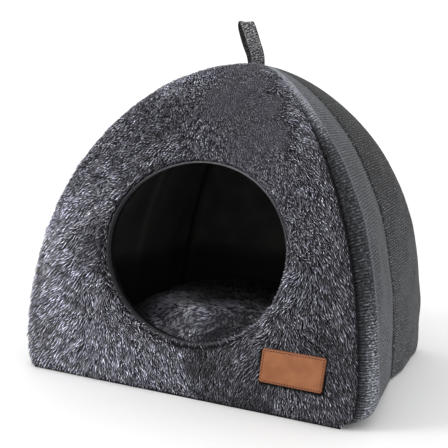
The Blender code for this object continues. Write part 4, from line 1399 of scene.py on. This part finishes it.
# ------------------------------------------------------------------- studio
def make_camera():
    azimuth, elevation, roll = (math.radians(CAMERA[key]) for key in ("azimuth", "elevation", "roll"))
    back = Vector((math.sin(azimuth) * math.cos(elevation),
                   -math.cos(azimuth) * math.cos(elevation), math.sin(elevation)))
    level = Vector((math.cos(azimuth), math.sin(azimuth), 0))
    rise = back.cross(level)
    right = level * math.cos(roll) + rise * math.sin(roll)
    top = rise * math.cos(roll) - level * math.sin(roll)
    aim = Vector((0, 0, CAMERA["aim_up"])) + level * CAMERA["aim_right"] + rise * CAMERA["aim_rise"]
    lens = bpy.data.cameras.new("camera")
    lens.lens = CAMERA["lens"]
    lens.sensor_width = 36
    lens.clip_start = 0.01
    camera = bpy.data.objects.new("camera", lens)
    bpy.context.scene.collection.objects.link(camera)
    turned = Matrix((right, top, back)).transposed().to_4x4()
    camera.matrix_world = Matrix.Translation((aim + back * CAMERA["distance"]) * MM) @ turned
    bpy.context.scene.camera = camera


def make_studio():
    """A white world, one soft key light and a pale floor, in metres."""
    world = bpy.data.worlds.new("studio")
    world.use_nodes = True
    shade = world.node_tree.nodes["Background"]
    shade.inputs["Color"].default_value = (1, 1, 1, 1)
    shade.inputs["Strength"].default_value = 1.12
    scene = bpy.context.scene
    scene.world = world
    scene.view_settings.view_transform = "Standard"
    lamp = bpy.data.lights.new("key", "AREA")
    lamp.shape = "DISK"
    lamp.size = 1.0
    lamp.energy = 26
    lamp.color = (1, 0.99, 0.98)
    key = bpy.data.objects.new("key", lamp)
    key.location = (-1.6, -1.5, 1.5)
    aim = Vector((0, 0, 0.2)) - key.location
    key.rotation_euler = aim.to_track_quat("-Z", "Y").to_euler()
    scene.collection.objects.link(key)
    mesh = bpy.data.meshes.new("floor")
    mesh.from_pydata([(-4, -4, 0), (4, -4, 0), (4, 4, 0), (-4, 4, 0)], [], [(0, 1, 2, 3)])
    mesh.materials.append(grained_material("studio_floor", 0.9, 0.1, 3,
                                           ((0.86, 0.86, 0.86), (0.9, 0.9, 0.9))))
    floor = bpy.data.objects.new("floor", mesh)
    scene.collection.objects.link(floor)


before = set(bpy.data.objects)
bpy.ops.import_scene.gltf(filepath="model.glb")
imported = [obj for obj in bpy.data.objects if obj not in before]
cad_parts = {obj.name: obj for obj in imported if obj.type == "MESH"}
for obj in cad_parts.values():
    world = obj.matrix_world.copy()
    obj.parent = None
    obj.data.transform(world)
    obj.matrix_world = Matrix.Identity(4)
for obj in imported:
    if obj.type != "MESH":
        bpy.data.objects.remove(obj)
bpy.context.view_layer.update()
make_camera()
make_studio()
PILE = pile_material()
BACKING = backing_material()
SMOOTH = linen_material("linen_smooth", (0.04, 0.042, 0.048), (0.058, 0.061, 0.07),
                        (0.34, 0.358, 0.405), dots=1.7, ribs=1.2, shaded=34)
RIBBED = linen_material("linen_ribbed", (0.036, 0.038, 0.043), (0.055, 0.058, 0.065),
                        (0.3, 0.31, 0.33), dots=2.2, ribs=2.0, shaded=12)
STRAP = linen_material("strap_weave", (0.02, 0.021, 0.025), (0.06, 0.061, 0.068),
                       (0.6, 0.6, 0.6), dots=1.3, ribs=1.0, shaded=1)
BASE = grained_material("base_cloth", 0.9, 0.2, 800, ((0.004, 0.004, 0.005), (0.016, 0.016, 0.018)),
                        strength=0.5, depth=0.3)
THREAD = grained_material("label_thread", 0.6, 0.4, 2500, ((0.02, 0.007, 0.004), (0.06, 0.02, 0.01)),
                          strength=0.5, depth=0.15)
make_front_body(BACKING)
make_front_pile(PILE)
make_walls(SMOOTH, RIBBED)
make_lining(lining_material())
make_base(BASE)
make_binding(binding_material())
make_strap(STRAP)
make_label(leather_material())
make_stitches(THREAD)
make_cushion_pile(make_cushion(BACKING), PILE)
